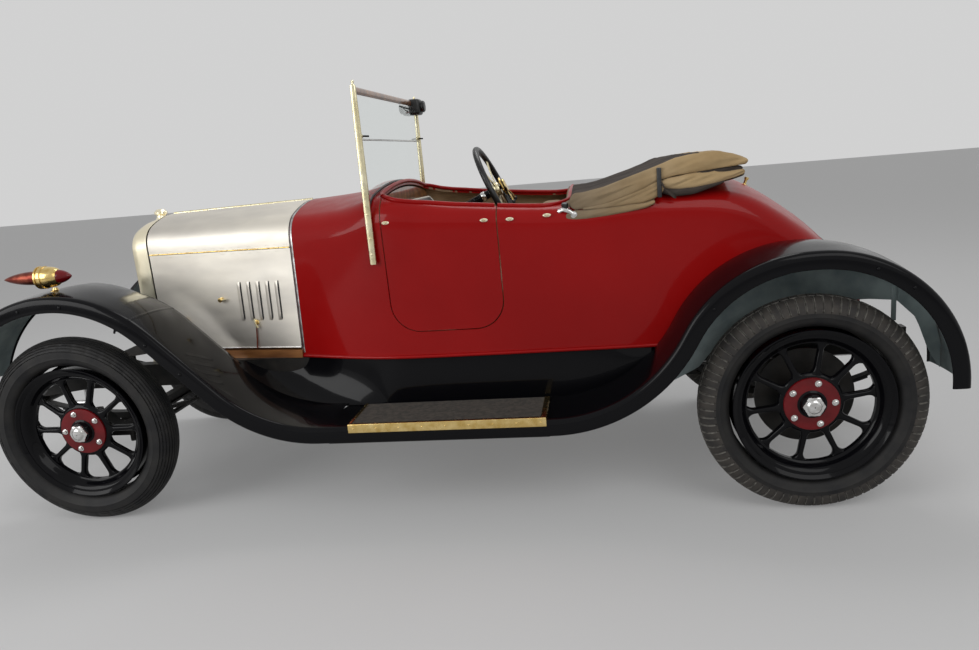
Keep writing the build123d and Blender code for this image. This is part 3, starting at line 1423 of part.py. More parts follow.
# Windscreen: two upright posts, cross rails and two panes
screen_x = x_at(SCREEN_BACK)
with BuildPart() as windscreen_frame:
    for side, sign in SIDES:
        add(
            box_between(
                screen_x - POST_DEPTH / 2, screen_x + POST_DEPTH / 2, sign * (POST_Y - POST_WIDTH),
                sign * POST_Y, POST_BOTTOM, SCREEN_TOP,
            )
        )
    for rail_z in (SCREEN_TOP - SCREEN_RAIL, SCREEN_SPLIT, SCREEN_LOW):
        add(
            box_between(
                screen_x - SCREEN_RAIL / 2, screen_x + SCREEN_RAIL / 2, -POST_Y + 1, POST_Y - 1,
                rail_z, rail_z + SCREEN_RAIL,
            )
        )
    add(clear_form["scuttle"], mode=Mode.SUBTRACT)
write(windscreen_frame.part, "windscreen_frame")

with BuildPart() as windscreen_glass:
    for low, high in (
        (SCREEN_LOW + SCREEN_RAIL, SCREEN_SPLIT),
        (SCREEN_SPLIT + SCREEN_RAIL, SCREEN_TOP - SCREEN_RAIL),
    ):
        add(
            box_between(
                screen_x - GLASS_THICKNESS / 2, screen_x + GLASS_THICKNESS / 2,
                -POST_Y + POST_WIDTH, POST_Y - POST_WIDTH, low, high,
            )
        )
write(windscreen_glass.part, "windscreen_glass")

with BuildPart() as wiper_motor:
    add(
        box_between(
            screen_x + SCREEN_RAIL / 2, screen_x + SCREEN_RAIL / 2 + WIPER_DEPTH,
            WIPER_Y - WIPER_WIDTH / 2, WIPER_Y + WIPER_WIDTH / 2, SCREEN_TOP - WIPER_HEIGHT, SCREEN_TOP,
        )
    )
write(wiper_motor.part, "wiper_motor")

# Seats: a wooden base, a bench cushion and an upright back
seat_front = x_at(CUSHION_FRONT_BACK)
seat_rear = x_at(COCKPIT_REAR_BACK) + 40
floor_top = BODY_BOTTOM + FLOOR_THICKNESS
cushion_low = CUSHION_TOP - CUSHION_THICKNESS
with BuildPart() as seat_base:
    add(
        box_between(
            seat_rear, seat_front - 20, -SEAT_HALF_WIDTH + 10, SEAT_HALF_WIDTH - 10, floor_top, cushion_low,
        )
    )
write(seat_base.part, "seat_base")

back_lean = tan(radians(BACK_LEAN))
back_foot_front = seat_rear + BACK_THICKNESS + (BACK_TOP - cushion_low) * back_lean
with BuildPart() as seat_cushion:
    add(
        box_between(
            back_foot_front - 50 + SEAT_GAP, seat_front, -SEAT_HALF_WIDTH, SEAT_HALF_WIDTH,
            cushion_low, CUSHION_TOP,
        )
    )
write(seat_cushion.part, "seat_cushion")

back_points = [
    (seat_rear, cushion_low),
    (back_foot_front - 50, cushion_low),
    (back_foot_front - 50, CUSHION_TOP),
    (seat_rear + BACK_THICKNESS, BACK_TOP),
    (seat_rear, BACK_TOP),
]
with BuildPart() as seat_back:
    with BuildSketch(side_plane(SEAT_HALF_WIDTH)):
        with BuildLine():
            Polyline(*back_points, close=True)
        make_face()
    extrude(amount=2 * SEAT_HALF_WIDTH)
write(seat_back.part, "seat_back")

# Pedals and hand levers
with BuildPart() as pedals:
    for pedal_y in PEDAL_PLACES:
        foot = Vector(x_at(PEDAL_BACK), pedal_y, PEDAL_Z)
        root = Vector(x_at(PEDAL_BACK - 110), pedal_y, floor_top)
        add(rod_between(foot, root, PEDAL_ARM, 0, -PEDAL_ARM))
        add(box_between(foot.X - 12, foot.X, pedal_y - 30, pedal_y + 30, PEDAL_Z - 35, PEDAL_Z + 35))
    add(box_between(x_at(0) - 3000, x_at(0), -600, 600, 0, floor_top), mode=Mode.SUBTRACT)
write(pedals.part, "pedals")

with BuildPart() as hand_levers:
    for lever_y, lever_back, lean_back, height in HAND_LEVERS:
        root = Vector(x_at(lever_back), lever_y, floor_top)
        top = Vector(x_at(lever_back + lean_back), lever_y, floor_top + height)
        knob_foot = top + (root - top).normalized() * LEVER_KNOB
        add(rod_between(root, top, LEVER_ROD, -LEVER_ROD, LEVER_KNOB))
        add(rod_between(knob_foot, top, LEVER_KNOB))
    add(box_between(x_at(0) - 3000, x_at(0), -600, 600, 0, floor_top), mode=Mode.SUBTRACT)
write(hand_levers.part, "hand_levers")

# Folded hood on the rear deck, with its pivot irons
hood_points = [
    (x_at(HOOD_FRONT_BACK), HOOD_LOW_Z),
    (x_at(HOOD_FRONT_BACK + 10), HOOD_TOP_Z - 112),
    (x_at(HOOD_FRONT_BACK + 230), HOOD_TOP_Z - 32),
    (x_at(HOOD_FRONT_BACK + 400), HOOD_TOP_Z),
    (x_at(HOOD_REAR_BACK - 90), HOOD_TOP_Z),
    (x_at(HOOD_REAR_BACK), HOOD_TOP_Z - 20),
    (x_at(HOOD_REAR_BACK), HOOD_TOP_Z - 90),
    (x_at(HOOD_REAR_BACK - 100), HOOD_LOW_Z - 10),
    (x_at(HOOD_FRONT_BACK), HOOD_LOW_Z - 40),
]
with BuildPart() as folded_hood:
    with BuildSketch(side_plane(HOOD_HALF_WIDTH)):
        with BuildLine():
            FilletPolyline(*hood_points, radius=[20, 60, 80, 80, 30, 30, 20])
            Line(hood_points[-1], hood_points[0])
        make_face()
    extrude(amount=2 * HOOD_HALF_WIDTH)
    add(clear_form["tail"], mode=Mode.SUBTRACT)
    add(box_between(x_at(COCKPIT_REAR_BACK) - 1, x_at(COCKPIT_REAR_BACK) + 400, -600, 600, 0, TALL),
        mode=Mode.SUBTRACT)
write(folded_hood.part, "folded_hood")

# Torpedo side lamps on the front wings
lamp_foot_z = WING_TOP - LAMP_FOOT_HEIGHT / 2
with BuildPart() as side_lamps:
    for side, sign in SIDES:
        lamp_x = FRONT_AXLE_X + LAMP_AHEAD
        lamp_plane = Plane(origin=(lamp_x, sign * LAMP_Y, LAMP_Z), x_dir=(0, 0, 1), z_dir=(0, -1, 0))
        with BuildSketch(lamp_plane):
            with BuildLine():
                Polyline((0, LAMP_TAIL), (LAMP_RADIUS * 0.6, LAMP_TAIL * 0.45), (LAMP_RADIUS, 0))
                Polyline((LAMP_RADIUS, 0), (LAMP_RADIUS, -LAMP_DRUM), (LAMP_RADIUS - 8, -LAMP_DRUM - 14))
                Polyline((LAMP_RADIUS - 8, -LAMP_DRUM - 14), (0, -LAMP_DRUM - 14), (0, LAMP_TAIL))
            make_face()
        revolve(axis=Axis((lamp_x, sign * LAMP_Y, LAMP_Z), (1, 0, 0)))
        for radius, height in ((LAMP_POST, LAMP_Z - lamp_foot_z), (LAMP_FOOT, LAMP_FOOT_HEIGHT)):
            with BuildSketch(level_plane(lamp_foot_z)):
                with Locations((lamp_x + LAMP_DRUM / 2, sign * LAMP_Y)):
                    Circle(radius)
            extrude(amount=height)
    add(under_wing(front_wing_line, FRONT_WING_RADII, -WING_Y, WING_Y, SEAT_GAP), mode=Mode.SUBTRACT)
write(side_lamps.part, "side_lamps")
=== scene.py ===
import json
from collections import namedtuple
from math import atan2, cos, pi, radians, sin, sqrt, tan

import bmesh
import bpy
from mathutils import Matrix, Vector, noise


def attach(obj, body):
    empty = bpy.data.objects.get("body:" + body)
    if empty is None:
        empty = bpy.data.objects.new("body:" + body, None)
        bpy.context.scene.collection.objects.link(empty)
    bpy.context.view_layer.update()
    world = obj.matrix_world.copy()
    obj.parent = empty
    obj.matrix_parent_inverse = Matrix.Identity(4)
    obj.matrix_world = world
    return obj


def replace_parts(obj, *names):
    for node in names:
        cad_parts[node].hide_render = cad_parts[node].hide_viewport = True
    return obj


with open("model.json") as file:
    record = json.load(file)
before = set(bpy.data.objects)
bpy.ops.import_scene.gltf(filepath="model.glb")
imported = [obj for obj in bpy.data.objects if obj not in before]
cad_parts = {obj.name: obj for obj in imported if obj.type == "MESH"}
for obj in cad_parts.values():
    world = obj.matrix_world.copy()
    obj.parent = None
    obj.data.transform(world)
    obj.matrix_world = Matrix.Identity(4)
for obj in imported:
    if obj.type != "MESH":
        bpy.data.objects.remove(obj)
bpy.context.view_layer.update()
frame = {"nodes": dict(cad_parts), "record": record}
nodes = frame["nodes"]
scene = bpy.context.scene

# Places in metres, in the CAD model's frame: +X to the front, +Y to the left, +Z up
FRONT_AXLE_X = 1.382
WHEELBASE = 2.794
REAR_AXLE_X = FRONT_AXLE_X - WHEELBASE
HALF_TRACK = 0.609
WHEEL_Z = 0.388
CAMBER = radians(2.7)
SIDES = (("left", 1), ("right", -1))


def x_at(back):
    # A place given in metres behind the front axle
    return FRONT_AXLE_X - back


# Materials: each is a plain shader with its own noise, grain or weave

def set_inputs(node, **values):
    # An input's name is written with underscores for its spaces
    for key, value in values.items():
        node.inputs[key.replace("_", " ")].default_value = value


def add_node(material, kind, **inputs):
    node = material.node_tree.nodes.new(kind)
    set_inputs(node, **inputs)
    return node


def link(material, start, end):
    material.node_tree.links.new(start, end)


def shader_of(material):
    return material.node_tree.nodes["Principled BSDF"]


def new_material(name, color, roughness, metallic=0.0, coat=0.0, coat_roughness=0.04, sheen=0.0,
                 specular=0.5):
    material = bpy.data.materials.new(name)
    material.use_nodes = True
    set_inputs(shader_of(material), Base_Color=(*color, 1.0), Roughness=roughness, Metallic=metallic,
               Coat_Weight=coat, Coat_Roughness=coat_roughness, Sheen_Weight=sheen,
               Specular_IOR_Level=specular)
    return material


def texture(material, kind, stretch=(1, 1, 1), **inputs):
    # A pattern laid in the piece's own frame
    node = add_node(material, kind, **inputs)
    coordinates = add_node(material, "ShaderNodeTexCoord")
    mapping = add_node(material, "ShaderNodeMapping", Scale=stretch)
    link(material, coordinates.outputs["Object"], mapping.inputs["Vector"])
    link(material, mapping.outputs["Vector"], node.inputs["Vector"])
    return node


def cloud(material, scale, detail, stretch=(1, 1, 1)):
    return texture(material, "ShaderNodeTexNoise", stretch, Scale=scale, Detail=detail).outputs["Fac"]


def two_tones(material, value, low, high, start, end):
    # The surface's colour goes from one to the other as the value goes from start to end
    ramp = add_node(material, "ShaderNodeValToRGB")
    for element, position, color in zip(ramp.color_ramp.elements, (start, end), (low, high)):
        element.position = position
        element.color = (*color, 1)
    link(material, value, ramp.inputs["Fac"])
    link(material, ramp.outputs["Color"], shader_of(material).inputs["Base Color"])
    return ramp.outputs["Color"]


def vary_color(material, low, high, scale, detail=4.0, stretch=(1, 1, 1)):
    # The surface's colour wanders between two colours in patches of a given scale
    two_tones(material, cloud(material, scale, detail, stretch), low, high, 0.35, 0.65)


def vary_roughness(material, low, high, scale, stretch=(1, 1, 1)):
    spread = add_node(material, "ShaderNodeMapRange", From_Min=0.3, From_Max=0.7, To_Min=low, To_Max=high)
    link(material, cloud(material, scale, 5.0, stretch), spread.inputs["Value"])
    link(material, spread.outputs["Result"], shader_of(material).inputs["Roughness"])


def add_bump(material, height, strength, distance):
    bump = add_node(material, "ShaderNodeBump", Strength=strength, Distance=distance)
    link(material, height, bump.inputs["Height"])
    link(material, bump.outputs["Normal"], shader_of(material).inputs["Normal"])


def noise_bump(material, scale, strength, distance, detail=6.0):
    add_bump(material, cloud(material, scale, detail), strength, distance)


body_red = new_material("body_red", (0.34, 0.004, 0.003), 0.35, coat=0.28, coat_roughness=0.07,
                        specular=0.05)
vary_color(body_red, (0.29, 0.003, 0.003), (0.36, 0.005, 0.005), 1.5)
vary_roughness(body_red, 0.28, 0.42, 14)

black_enamel = new_material("black_enamel", (0.003, 0.003, 0.004), 0.2, coat=0.20, coat_roughness=0.05,
                            specular=0.05)
vary_roughness(black_enamel, 0.12, 0.26, 9)
noise_bump(black_enamel, 3.0, 0.04, 0.01, detail=2.0)

chassis_black = new_material("chassis_black", (0.012, 0.012, 0.012), 0.45, specular=0.25)
vary_color(chassis_black, (0.008, 0.008, 0.008), (0.03, 0.027, 0.024), 12)
noise_bump(chassis_black, 60, 0.15, 0.002)

under_grey = new_material("under_grey", (0.24, 0.29, 0.29), 0.7)
vary_color(under_grey, (0.17, 0.215, 0.22), (0.30, 0.36, 0.36), 9)
noise_bump(under_grey, 160, 0.3, 0.002)

polished_aluminium = new_material("polished_aluminium", (0.70, 0.665, 0.60), 0.52, metallic=1.0)
vary_color(polished_aluminium, (0.61, 0.58, 0.53), (0.78, 0.74, 0.66), 4, stretch=(0.6, 1, 1.6))
vary_roughness(polished_aluminium, 0.46, 0.60, 11, stretch=(0.4, 1, 1.4))
noise_bump(polished_aluminium, 7, 0.14, 0.005, detail=3.0)

nickel = new_material("nickel", (0.95, 0.88, 0.66), 0.34, metallic=1.0)
vary_color(nickel, (0.92, 0.83, 0.60), (0.97, 0.91, 0.72), 5)
vary_roughness(nickel, 0.28, 0.40, 20)

old_brass = new_material("old_brass", (0.60, 0.47, 0.22), 0.3, metallic=1.0)
vary_color(old_brass, (0.70, 0.62, 0.38), (0.84, 0.78, 0.56), 12)
vary_roughness(old_brass, 0.18, 0.45, 40)
noise_bump(old_brass, 220, 0.08, 0.001)

# Dark copper; on the side lamps' front cones this colour is a painted reflection in their glass
dark_copper_and_reflection = new_material("dark_copper_and_reflection", (0.20, 0.045, 0.03), 0.35, metallic=1.0)
vary_color(dark_copper_and_reflection, (0.15, 0.030, 0.022), (0.25, 0.065, 0.04), 40)

brass = new_material("brass", (0.78, 0.56, 0.20), 0.2, metallic=1.0)
vary_color(brass, (0.62, 0.42, 0.13), (0.84, 0.64, 0.28), 30)
vary_roughness(brass, 0.12, 0.32, 45)

steel = new_material("steel", (0.42, 0.42, 0.42), 0.3, metallic=1.0)
vary_color(steel, (0.26, 0.25, 0.24), (0.55, 0.55, 0.55), 40)

bright_steel = new_material("bright_steel", (0.72, 0.72, 0.70), 0.2, metallic=1.0)
vary_color(bright_steel, (0.55, 0.54, 0.52), (0.78, 0.78, 0.77), 60)

hub_red = new_material("hub_red", (0.15, 0.003, 0.006), 0.3, coat=0.5, specular=0.1)
vary_color(hub_red, (0.12, 0.002, 0.004), (0.17, 0.004, 0.007), 22)


def honeycomb(name, hole_shade, wall, cells):
    # Small cells across the car and up: a dark hole in each, its colour painted shade, with a paler wall
    # round it
    material = new_material(name, wall, 0.5, specular=0.3)
    pattern = texture(material, "ShaderNodeTexVoronoi", (0.0, 1.0, 1.0), Scale=cells, Randomness=0.25)
    pattern.feature = "DISTANCE_TO_EDGE"
    color = two_tones(material, pattern.outputs["Distance"], wall, hole_shade, 0.08, 0.20)
    add_bump(material, color, 0.5, 0.002)
    return material


# The first colour is the painted shade inside each cell's hole
core_black = honeycomb("core_black", (0.006, 0.006, 0.006), (0.085, 0.075, 0.055), 125.0)

engine_iron = new_material("engine_iron", (0.03, 0.032, 0.03), 0.6, specular=0.3)
vary_color(engine_iron, (0.02, 0.021, 0.02), (0.045, 0.047, 0.043), 12)
noise_bump(engine_iron, 120, 0.3, 0.002)

tyre_rubber = new_material("tyre_rubber", (0.012, 0.012, 0.013), 0.6, specular=0.3)
vary_color(tyre_rubber, (0.008, 0.008, 0.009), (0.020, 0.019, 0.018), 14)
noise_bump(tyre_rubber, 250, 0.2, 0.001)

tread_rubber = new_material("tread_rubber", (0.045, 0.040, 0.036), 0.7, specular=0.3)
vary_color(tread_rubber, (0.030, 0.028, 0.027), (0.062, 0.055, 0.048), 18)
noise_bump(tread_rubber, 250, 0.2, 0.001)

groove_dust = new_material("groove_dust", (0.13, 0.12, 0.11), 0.9)
vary_color(groove_dust, (0.07, 0.066, 0.06), (0.20, 0.19, 0.17), 60)

mat_rubber = new_material("mat_rubber", (0.04, 0.034, 0.028), 0.7)
vary_color(mat_rubber, (0.028, 0.024, 0.020), (0.060, 0.050, 0.040), 60)
noise_bump(mat_rubber, 300, 0.25, 0.001)

varnished_wood = new_material("varnished_wood", (0.30, 0.13, 0.045), 0.35, coat=0.8)
vary_color(varnished_wood, (0.13, 0.045, 0.014), (0.36, 0.155, 0.050), 16, stretch=(0.12, 1.4, 1.4))

floor_wood = new_material("floor_wood", (0.26, 0.17, 0.10), 0.65)
vary_color(floor_wood, (0.17, 0.10, 0.055), (0.34, 0.23, 0.13), 20, stretch=(0.1, 1.2, 1))

strap_leather = new_material("strap_leather", (0.022, 0.023, 0.025), 0.45)
vary_color(strap_leather, (0.014, 0.015, 0.017), (0.045, 0.045, 0.045), 60)

black_plastic = new_material("black_plastic", (0.012, 0.012, 0.012), 0.35)
noise_bump(black_plastic, 300, 0.1, 0.0005)

tan_leather = new_material("tan_leather", (0.36, 0.24, 0.13), 0.42)
vary_color(tan_leather, (0.27, 0.17, 0.09), (0.42, 0.29, 0.17), 9)
leather_cells = texture(tan_leather, "ShaderNodeTexVoronoi", Scale=380.0)
add_bump(tan_leather, leather_cells.outputs["Distance"], 0.25, 0.0012)


def woven_cloth(name, low, high, sheen):
    # Canvas: crossed threads as bump, and patches of fading
    material = new_material(name, low, 0.9, sheen=sheen, specular=0.15)
    vary_color(material, low, high, 7, detail=6)
    both = add_node(material, "ShaderNodeMath")
    both.operation = "ADD"
    for socket, axis in zip(both.inputs, ("X", "Y")):
        threads = texture(material, "ShaderNodeTexWave", Scale=260.0, Distortion=0.6)
        threads.bands_direction = axis
        link(material, threads.outputs["Fac"], socket)
    add_bump(material, both.outputs[0], 0.25, 0.0006)
    return material


def painted_shade_forward(material, rear, front, shade_tint):
    # Painted shade: the cloth is darkened and cooled by a shade colour fully at the front place along the
    # car and not at all at the rear one
    base = shader_of(material).inputs["Base Color"]
    plain = base.links[0].from_socket
    split = texture(material, "ShaderNodeSeparateXYZ")
    spread = add_node(material, "ShaderNodeMapRange", From_Min=rear, From_Max=front)
    link(material, split.outputs["X"], spread.inputs["Value"])
    blend = add_node(material, "ShaderNodeMixRGB", Color2=(*shade_tint, 1))
    blend.blend_type = "MULTIPLY"
    link(material, spread.outputs["Result"], blend.inputs["Fac"])
    link(material, plain, blend.inputs["Color1"])
    link(material, blend.outputs["Color"], base)


canvas = woven_cloth("canvas", (0.42, 0.29, 0.145), (0.55, 0.40, 0.22), 0.1)
# Painted shade: the front of the hood's tan cloth is made darker and bluer
painted_shade_forward(canvas, x_at(2.42), x_at(1.99), (0.44, 0.47, 0.58))
# Darker cloth: the strap's dark tongue, and painted shade on the hood's upper faces and on its inner and
# low folds
dark_and_shade_canvas = woven_cloth("dark_and_shade_canvas", (0.040, 0.032, 0.028), (0.085, 0.070, 0.061), 0.0)

dial_white = new_material("dial_white", (0.72, 0.70, 0.62), 0.5)
vary_color(dial_white, (0.66, 0.63, 0.54), (0.76, 0.74, 0.67), 30)

glass = new_material("glass", (0.93, 0.97, 0.96), 0.02)
set_inputs(shader_of(glass), Transmission_Weight=1.0)
vary_roughness(glass, 0.0, 0.05, 6)

NODE_MATERIALS = {
    "body_red": body_red, "black_enamel": black_enamel, "bonnet_aluminium": polished_aluminium,
    "nickel": nickel, "brass": brass, "radiator_core": core_black, "steel": steel, "tyre": tyre_rubber,
    "engine_iron": engine_iron, "step_rubber": mat_rubber, "dash_wood": varnished_wood,
    "floor_wood": floor_wood, "screen_frame": old_brass, "black_plastic": black_plastic,
    "tan_leather": tan_leather, "hood_canvas": canvas, "glass": glass,
}
CHASSIS_NODES = ["chassis_frame", "road_springs", "front_axle", "rear_axle", "torque_tube", "track_rod",
                 "knuckle_left", "knuckle_right"]
for part in frame["record"]["subparts"]:
    finish = chassis_black if part["node"] in CHASSIS_NODES else NODE_MATERIALS[part["material_slot"]]
    for slot in nodes[part["node"]].material_slots:
        slot.material = finish


# Shapes

def place(obj, body, *materials):
    scene.collection.objects.link(obj)
    for material in materials:
        obj.data.materials.append(material)
    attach(obj, body)
    return obj


def clean(mesh):
    # Joins doubled points and turns every face outward
    work = bmesh.new()
    work.from_mesh(mesh)
    bmesh.ops.remove_doubles(work, verts=work.verts, dist=1e-5)
    bmesh.ops.recalc_face_normals(work, faces=work.faces)
    work.to_mesh(mesh)
    work.free()


def soften(mesh, sharp):
    # Smooth shading, but for edges that turn by more than an angle in degrees
    mesh.shade_smooth()
    mesh.set_sharp_from_angle(angle=radians(sharp))


def skin(name, rows, body, *materials, wrap_rows=False, wrap_columns=False, caps=False, sharp=40):
    # A surface through rows of points, closed either way or capped at its ends
    count = len(rows)
    columns = len(rows[0])
    faces = []
    for i in range(count if wrap_rows else count - 1):
        for j in range(columns if wrap_columns else columns - 1):
            here = i * columns
            there = (i + 1) % count * columns
            after = (j + 1) % columns
            faces.append((here + j, here + after, there + after, there + j))
    if caps:
        faces += [tuple(range(columns)), tuple(range((count - 1) * columns, count * columns))]
    mesh = bpy.data.meshes.new(name)
    mesh.from_pydata([point for row in rows for point in row], [], faces)
    clean(mesh)
    soften(mesh, sharp)
    return place(bpy.data.objects.new(name, mesh), body, *materials)


def bar(name, rows, body, *materials, sharp=40):
    # A solid form through closed rows of points
    return skin(name, rows, body, *materials, wrap_columns=True, caps=True, sharp=sharp)


def even_steps(points, spacing):
    # The same line with points no further apart than the spacing
    result = [points[0]]
    for before, after in zip(points, points[1:]):
        length = (after - before).length
        if length < 1e-7:
            continue
        count = max(1, int(length / spacing + 0.5))
        result += [before.lerp(after, (step + 1) / count) for step in range(count)]
    return result


def filleted(corners, radii, spacing):
    # The line through corner points in a plane, each corner rounded by its radius
    corners = [Vector(corner) for corner in corners]
    points = [corners[0]]
    for before, corner, after, radius in zip(corners, corners[1:], corners[2:], radii):
        arriving = (corner - before).normalized()
        leaving = (after - corner).normalized()
        turn = arriving.angle(leaving)
        start = corner - arriving * radius * tan(turn / 2)
        centre = corner + (leaving - arriving).normalized() * (radius / cos(turn / 2))
        steps = max(3, int(radius * turn / spacing))
        arm = start - centre
        sense = 1 if arriving.x * leaving.y - arriving.y * leaving.x > 0 else -1
        for step in range(steps + 1):
            angle = sense * turn * step / steps
            across = Vector((-arm.y, arm.x))
            points.append(centre + arm * cos(angle) + across * sin(angle))
    points.append(corners[-1])
    return even_steps(points, spacing)


def normals_of(points):
    # The direction to the right of travel at each point of a line in a plane
    result = []
    for before, after in zip([points[0]] + points, points[1:] + [points[-1]]):
        run = (after - before).normalized()
        result.append(Vector((run.y, -run.x)))
    return result


def ring(middle, first, second, count=12):
    # Points round an oval with two given half axes
    turns = [2 * pi * k / count for k in range(count)]
    return [middle + first * cos(turn) + second * sin(turn) for turn in turns]


def tube(name, points, radius, body, material, sides=12, closed=False):
    # A round tube along a line of points in space; its radius may be a function of the share along it
    points = [Vector(point) for point in points]
    last = len(points) - 1
    rows = []
    across = None
    for index, point in enumerate(points):
        after = points[(index + 1) % len(points)] if closed else points[min(index + 1, last)]
        before = points[index - 1] if closed else points[max(index - 1, 0)]
        run = (after - before).normalized()
        if across is None:
            across = run.orthogonal().normalized()
        across = (across - run * across.dot(run)).normalized()
        size = radius(index / last) if callable(radius) else radius
        rows.append(ring(point, across * size, run.cross(across) * size, sides))
    return skin(name, rows, body, material, wrap_rows=closed, wrap_columns=True, caps=not closed)


def lathe(name, profile, centre, axis, body, material, segments=28, sharp=35):
    # A turned form: profile points are (along the axis, radius)
    axis = Vector(axis).normalized()
    across = axis.orthogonal().normalized()
    outward = ring(Vector((0, 0, 0)), across, axis.cross(across), segments)
    rows = [[Vector(centre) + axis * along + away * radius for along, radius in profile]
            for away in outward]
    return skin(name, rows, body, material, wrap_rows=True, sharp=sharp)


def dome(name, spot, axis, radius, height, body, material, segments=16):
    # A round head that stands out from a surface
    profile = [(-0.002, radius)]
    for step in range(5):
        angle = pi / 2 * step / 4
        profile.append((height * sin(angle), radius * cos(angle)))
    return lathe(name, profile, spot, axis, body, material, segments)


def block_mesh(name, low, high, radius, segments):
    # A block between two corners, its edges rounded
    work = bmesh.new()
    bmesh.ops.create_cube(work, size=1)
    for vertex in work.verts:
        vertex.co = Vector([(a + b) / 2 + c * abs(b - a) for a, b, c in zip(low, high, vertex.co)])
    bmesh.ops.bevel(work, geom=work.edges[:], offset=radius, segments=segments, affect="EDGES", profile=0.5)
    mesh = bpy.data.meshes.new(name)
    work.to_mesh(mesh)
    work.free()
    return mesh


def rounded_block(name, low, high, radius, body, material, segments=3):
    mesh = block_mesh(name, low, high, radius, segments)
    soften(mesh, 50)
    return place(bpy.data.objects.new(name, mesh), body, material)


def join_pieces(name, pieces):
    # Several meshes of one body and the same materials as one piece
    work = bmesh.new()
    for piece in pieces:
        work.from_mesh(piece.data)
    first = pieces[0]
    work.to_mesh(first.data)
    work.free()
    first.name = name
    for piece in pieces[1:]:
        bpy.data.objects.remove(piece)


def freeze(obj):
    # The shape with its modifiers becomes the mesh
    bpy.context.view_layer.update()
    evaluated = obj.evaluated_get(bpy.context.evaluated_depsgraph_get())
    result = bpy.data.meshes.new_from_object(evaluated)
    obj.modifiers.clear()
    obj.data = result


def cut(obj, cutter, operation="DIFFERENCE"):
    # Cuts obj with another mesh and keeps the result as its mesh
    modifier = obj.modifiers.new("cut", "BOOLEAN")
    modifier.operation = operation
    modifier.object = cutter
    modifier.solver = "EXACT"
    freeze(obj)
    soften(obj.data, 32)


def prism(name, outline, low, high, direction):
    # A scratch cutter: an outline pushed along Y or Z, not linked to any body
    count = len(outline)
    vertices = []
    for depth in (low, high):
        vertices += [(u, depth, v) if direction == "Y" else (u, v, depth) for u, v in outline]
    faces = [tuple(range(count)), tuple(range(count, 2 * count))]
    faces += [(k, (k + 1) % count, count + (k + 1) % count, count + k) for k in range(count)]
    mesh = bpy.data.meshes.new(name)
    mesh.from_pydata(vertices, [], faces)
    clean(mesh)
    obj = bpy.data.objects.new(name, mesh)
    scene.collection.objects.link(obj)
    return obj


# Body sections: place behind the front axle, half width at the bottom and at the waist, height and
# radius of the crown, and the shoulder's radius
Section = namedtuple("Section", "back low_half waist_half crown_z crown_radius shoulder_radius")
NOSE = Section(0.095, 0.232, 0.236, 1.168, 0.480, 0.090)
BONNET_FRONT = Section(0.182, 0.250, 0.256, 1.192, 0.500, 0.090)
BONNET_REAR = Section(0.855, 0.358, 0.334, 1.206, 0.760, 0.110)
BODY_END = Section(3.030, 0.340, 0.346, 0.830, 0.900, 0.105)
BODY_SECTIONS = [
    BONNET_REAR,
    Section(1.090, 0.428, 0.430, 1.222, 1.300, 0.105),
    Section(1.270, 0.463, 0.491, 1.249, 2.210, 0.094),
    Section(1.420, 0.471, 0.505, 1.226, 2.400, 0.080),
    Section(1.590, 0.473, 0.509, 1.200, 2.500, 0.064),
    Section(1.985, 0.472, 0.506, 1.168, 2.500, 0.060),
    Section(2.354, 0.466, 0.490, 1.186, 2.300, 0.066),
    Section(2.614, 0.446, 0.462, 1.160, 1.800, 0.084),
    Section(2.854, 0.400, 0.412, 1.006, 1.200, 0.105),
    BODY_END,
]
BODY_BOTTOM = 0.580


def straight_between(first, last, back):
    # A section at a place between two others, or a little past them
    share = (back - first.back) / (last.back - first.back)
    return Section(*[a + (b - a) * share for a, b in zip(first, last)])


def bonnet_section(back):
    return straight_between(BONNET_FRONT, BONNET_REAR, back)


def body_section(back):
    # A section of the body, along a smooth curve through those of the table. The crown's radius is
    # carried along as its curvature
    places = [row.back for row in BODY_SECTIONS]
    last = len(places) - 1
    index = 0
    while index < last - 1 and back > places[index + 1]:
        index += 1
    span = places[index + 1] - places[index]
    t = (back - places[index]) / span
    values = [back]
    for column in range(1, len(Section._fields)):
        bent = Section._fields[column] == "crown_radius"
        curve = [1 / row[column] if bent else row[column] for row in BODY_SECTIONS]

        def slope(k):
            low, high = max(k - 1, 0), min(k + 1, last)
            return (curve[high] - curve[low]) / (places[high] - places[low])

        value = (
            (2 * t ** 3 - 3 * t ** 2 + 1) * curve[index] + (t ** 3 - 2 * t ** 2 + t) * span * slope(index)
            + (3 * t ** 2 - 2 * t ** 3) * curve[index + 1] + (t ** 3 - t ** 2) * span * slope(index + 1)
        )
        values.append(1 / value if bent else value)
    return Section(*values)


def shoulder_of(section):
    # The centre of the shoulder: how far across, how far over the crown's centre, and its height
    across = section.waist_half - section.shoulder_radius
    rise = sqrt((section.crown_radius - section.shoulder_radius) ** 2 - across ** 2)
    return across, rise, section.crown_z - section.crown_radius + rise


def half_outline(section, bottom, grow=0.0, across_from=0.0, sides=16, shoulder=12, crown=16):
    # Points (y, z) up one side of a section: flat side, round shoulder, crown to the middle
    across, rise, waist_z = shoulder_of(section)
    big = section.crown_radius + grow
    small = section.shoulder_radius + grow
    lean = (section.waist_half - section.low_half) / (waist_z - grow - BODY_BOTTOM)
    direction = atan2(rise, across)
    points = []
    for step in range(sides):
        z = bottom + (waist_z - bottom) * step / sides
        points.append((section.waist_half + grow - lean * (waist_z - z), z))
    for step in range(shoulder):
        angle = direction * step / shoulder
        points.append((across + small * cos(angle), waist_z + small * sin(angle)))
    for step in range(crown + 1):
        y = max(across_from, big * cos(direction + (pi / 2 - direction) * step / crown))
        points.append((y, section.crown_z - section.crown_radius + sqrt(big ** 2 - y ** 2)))
    return points


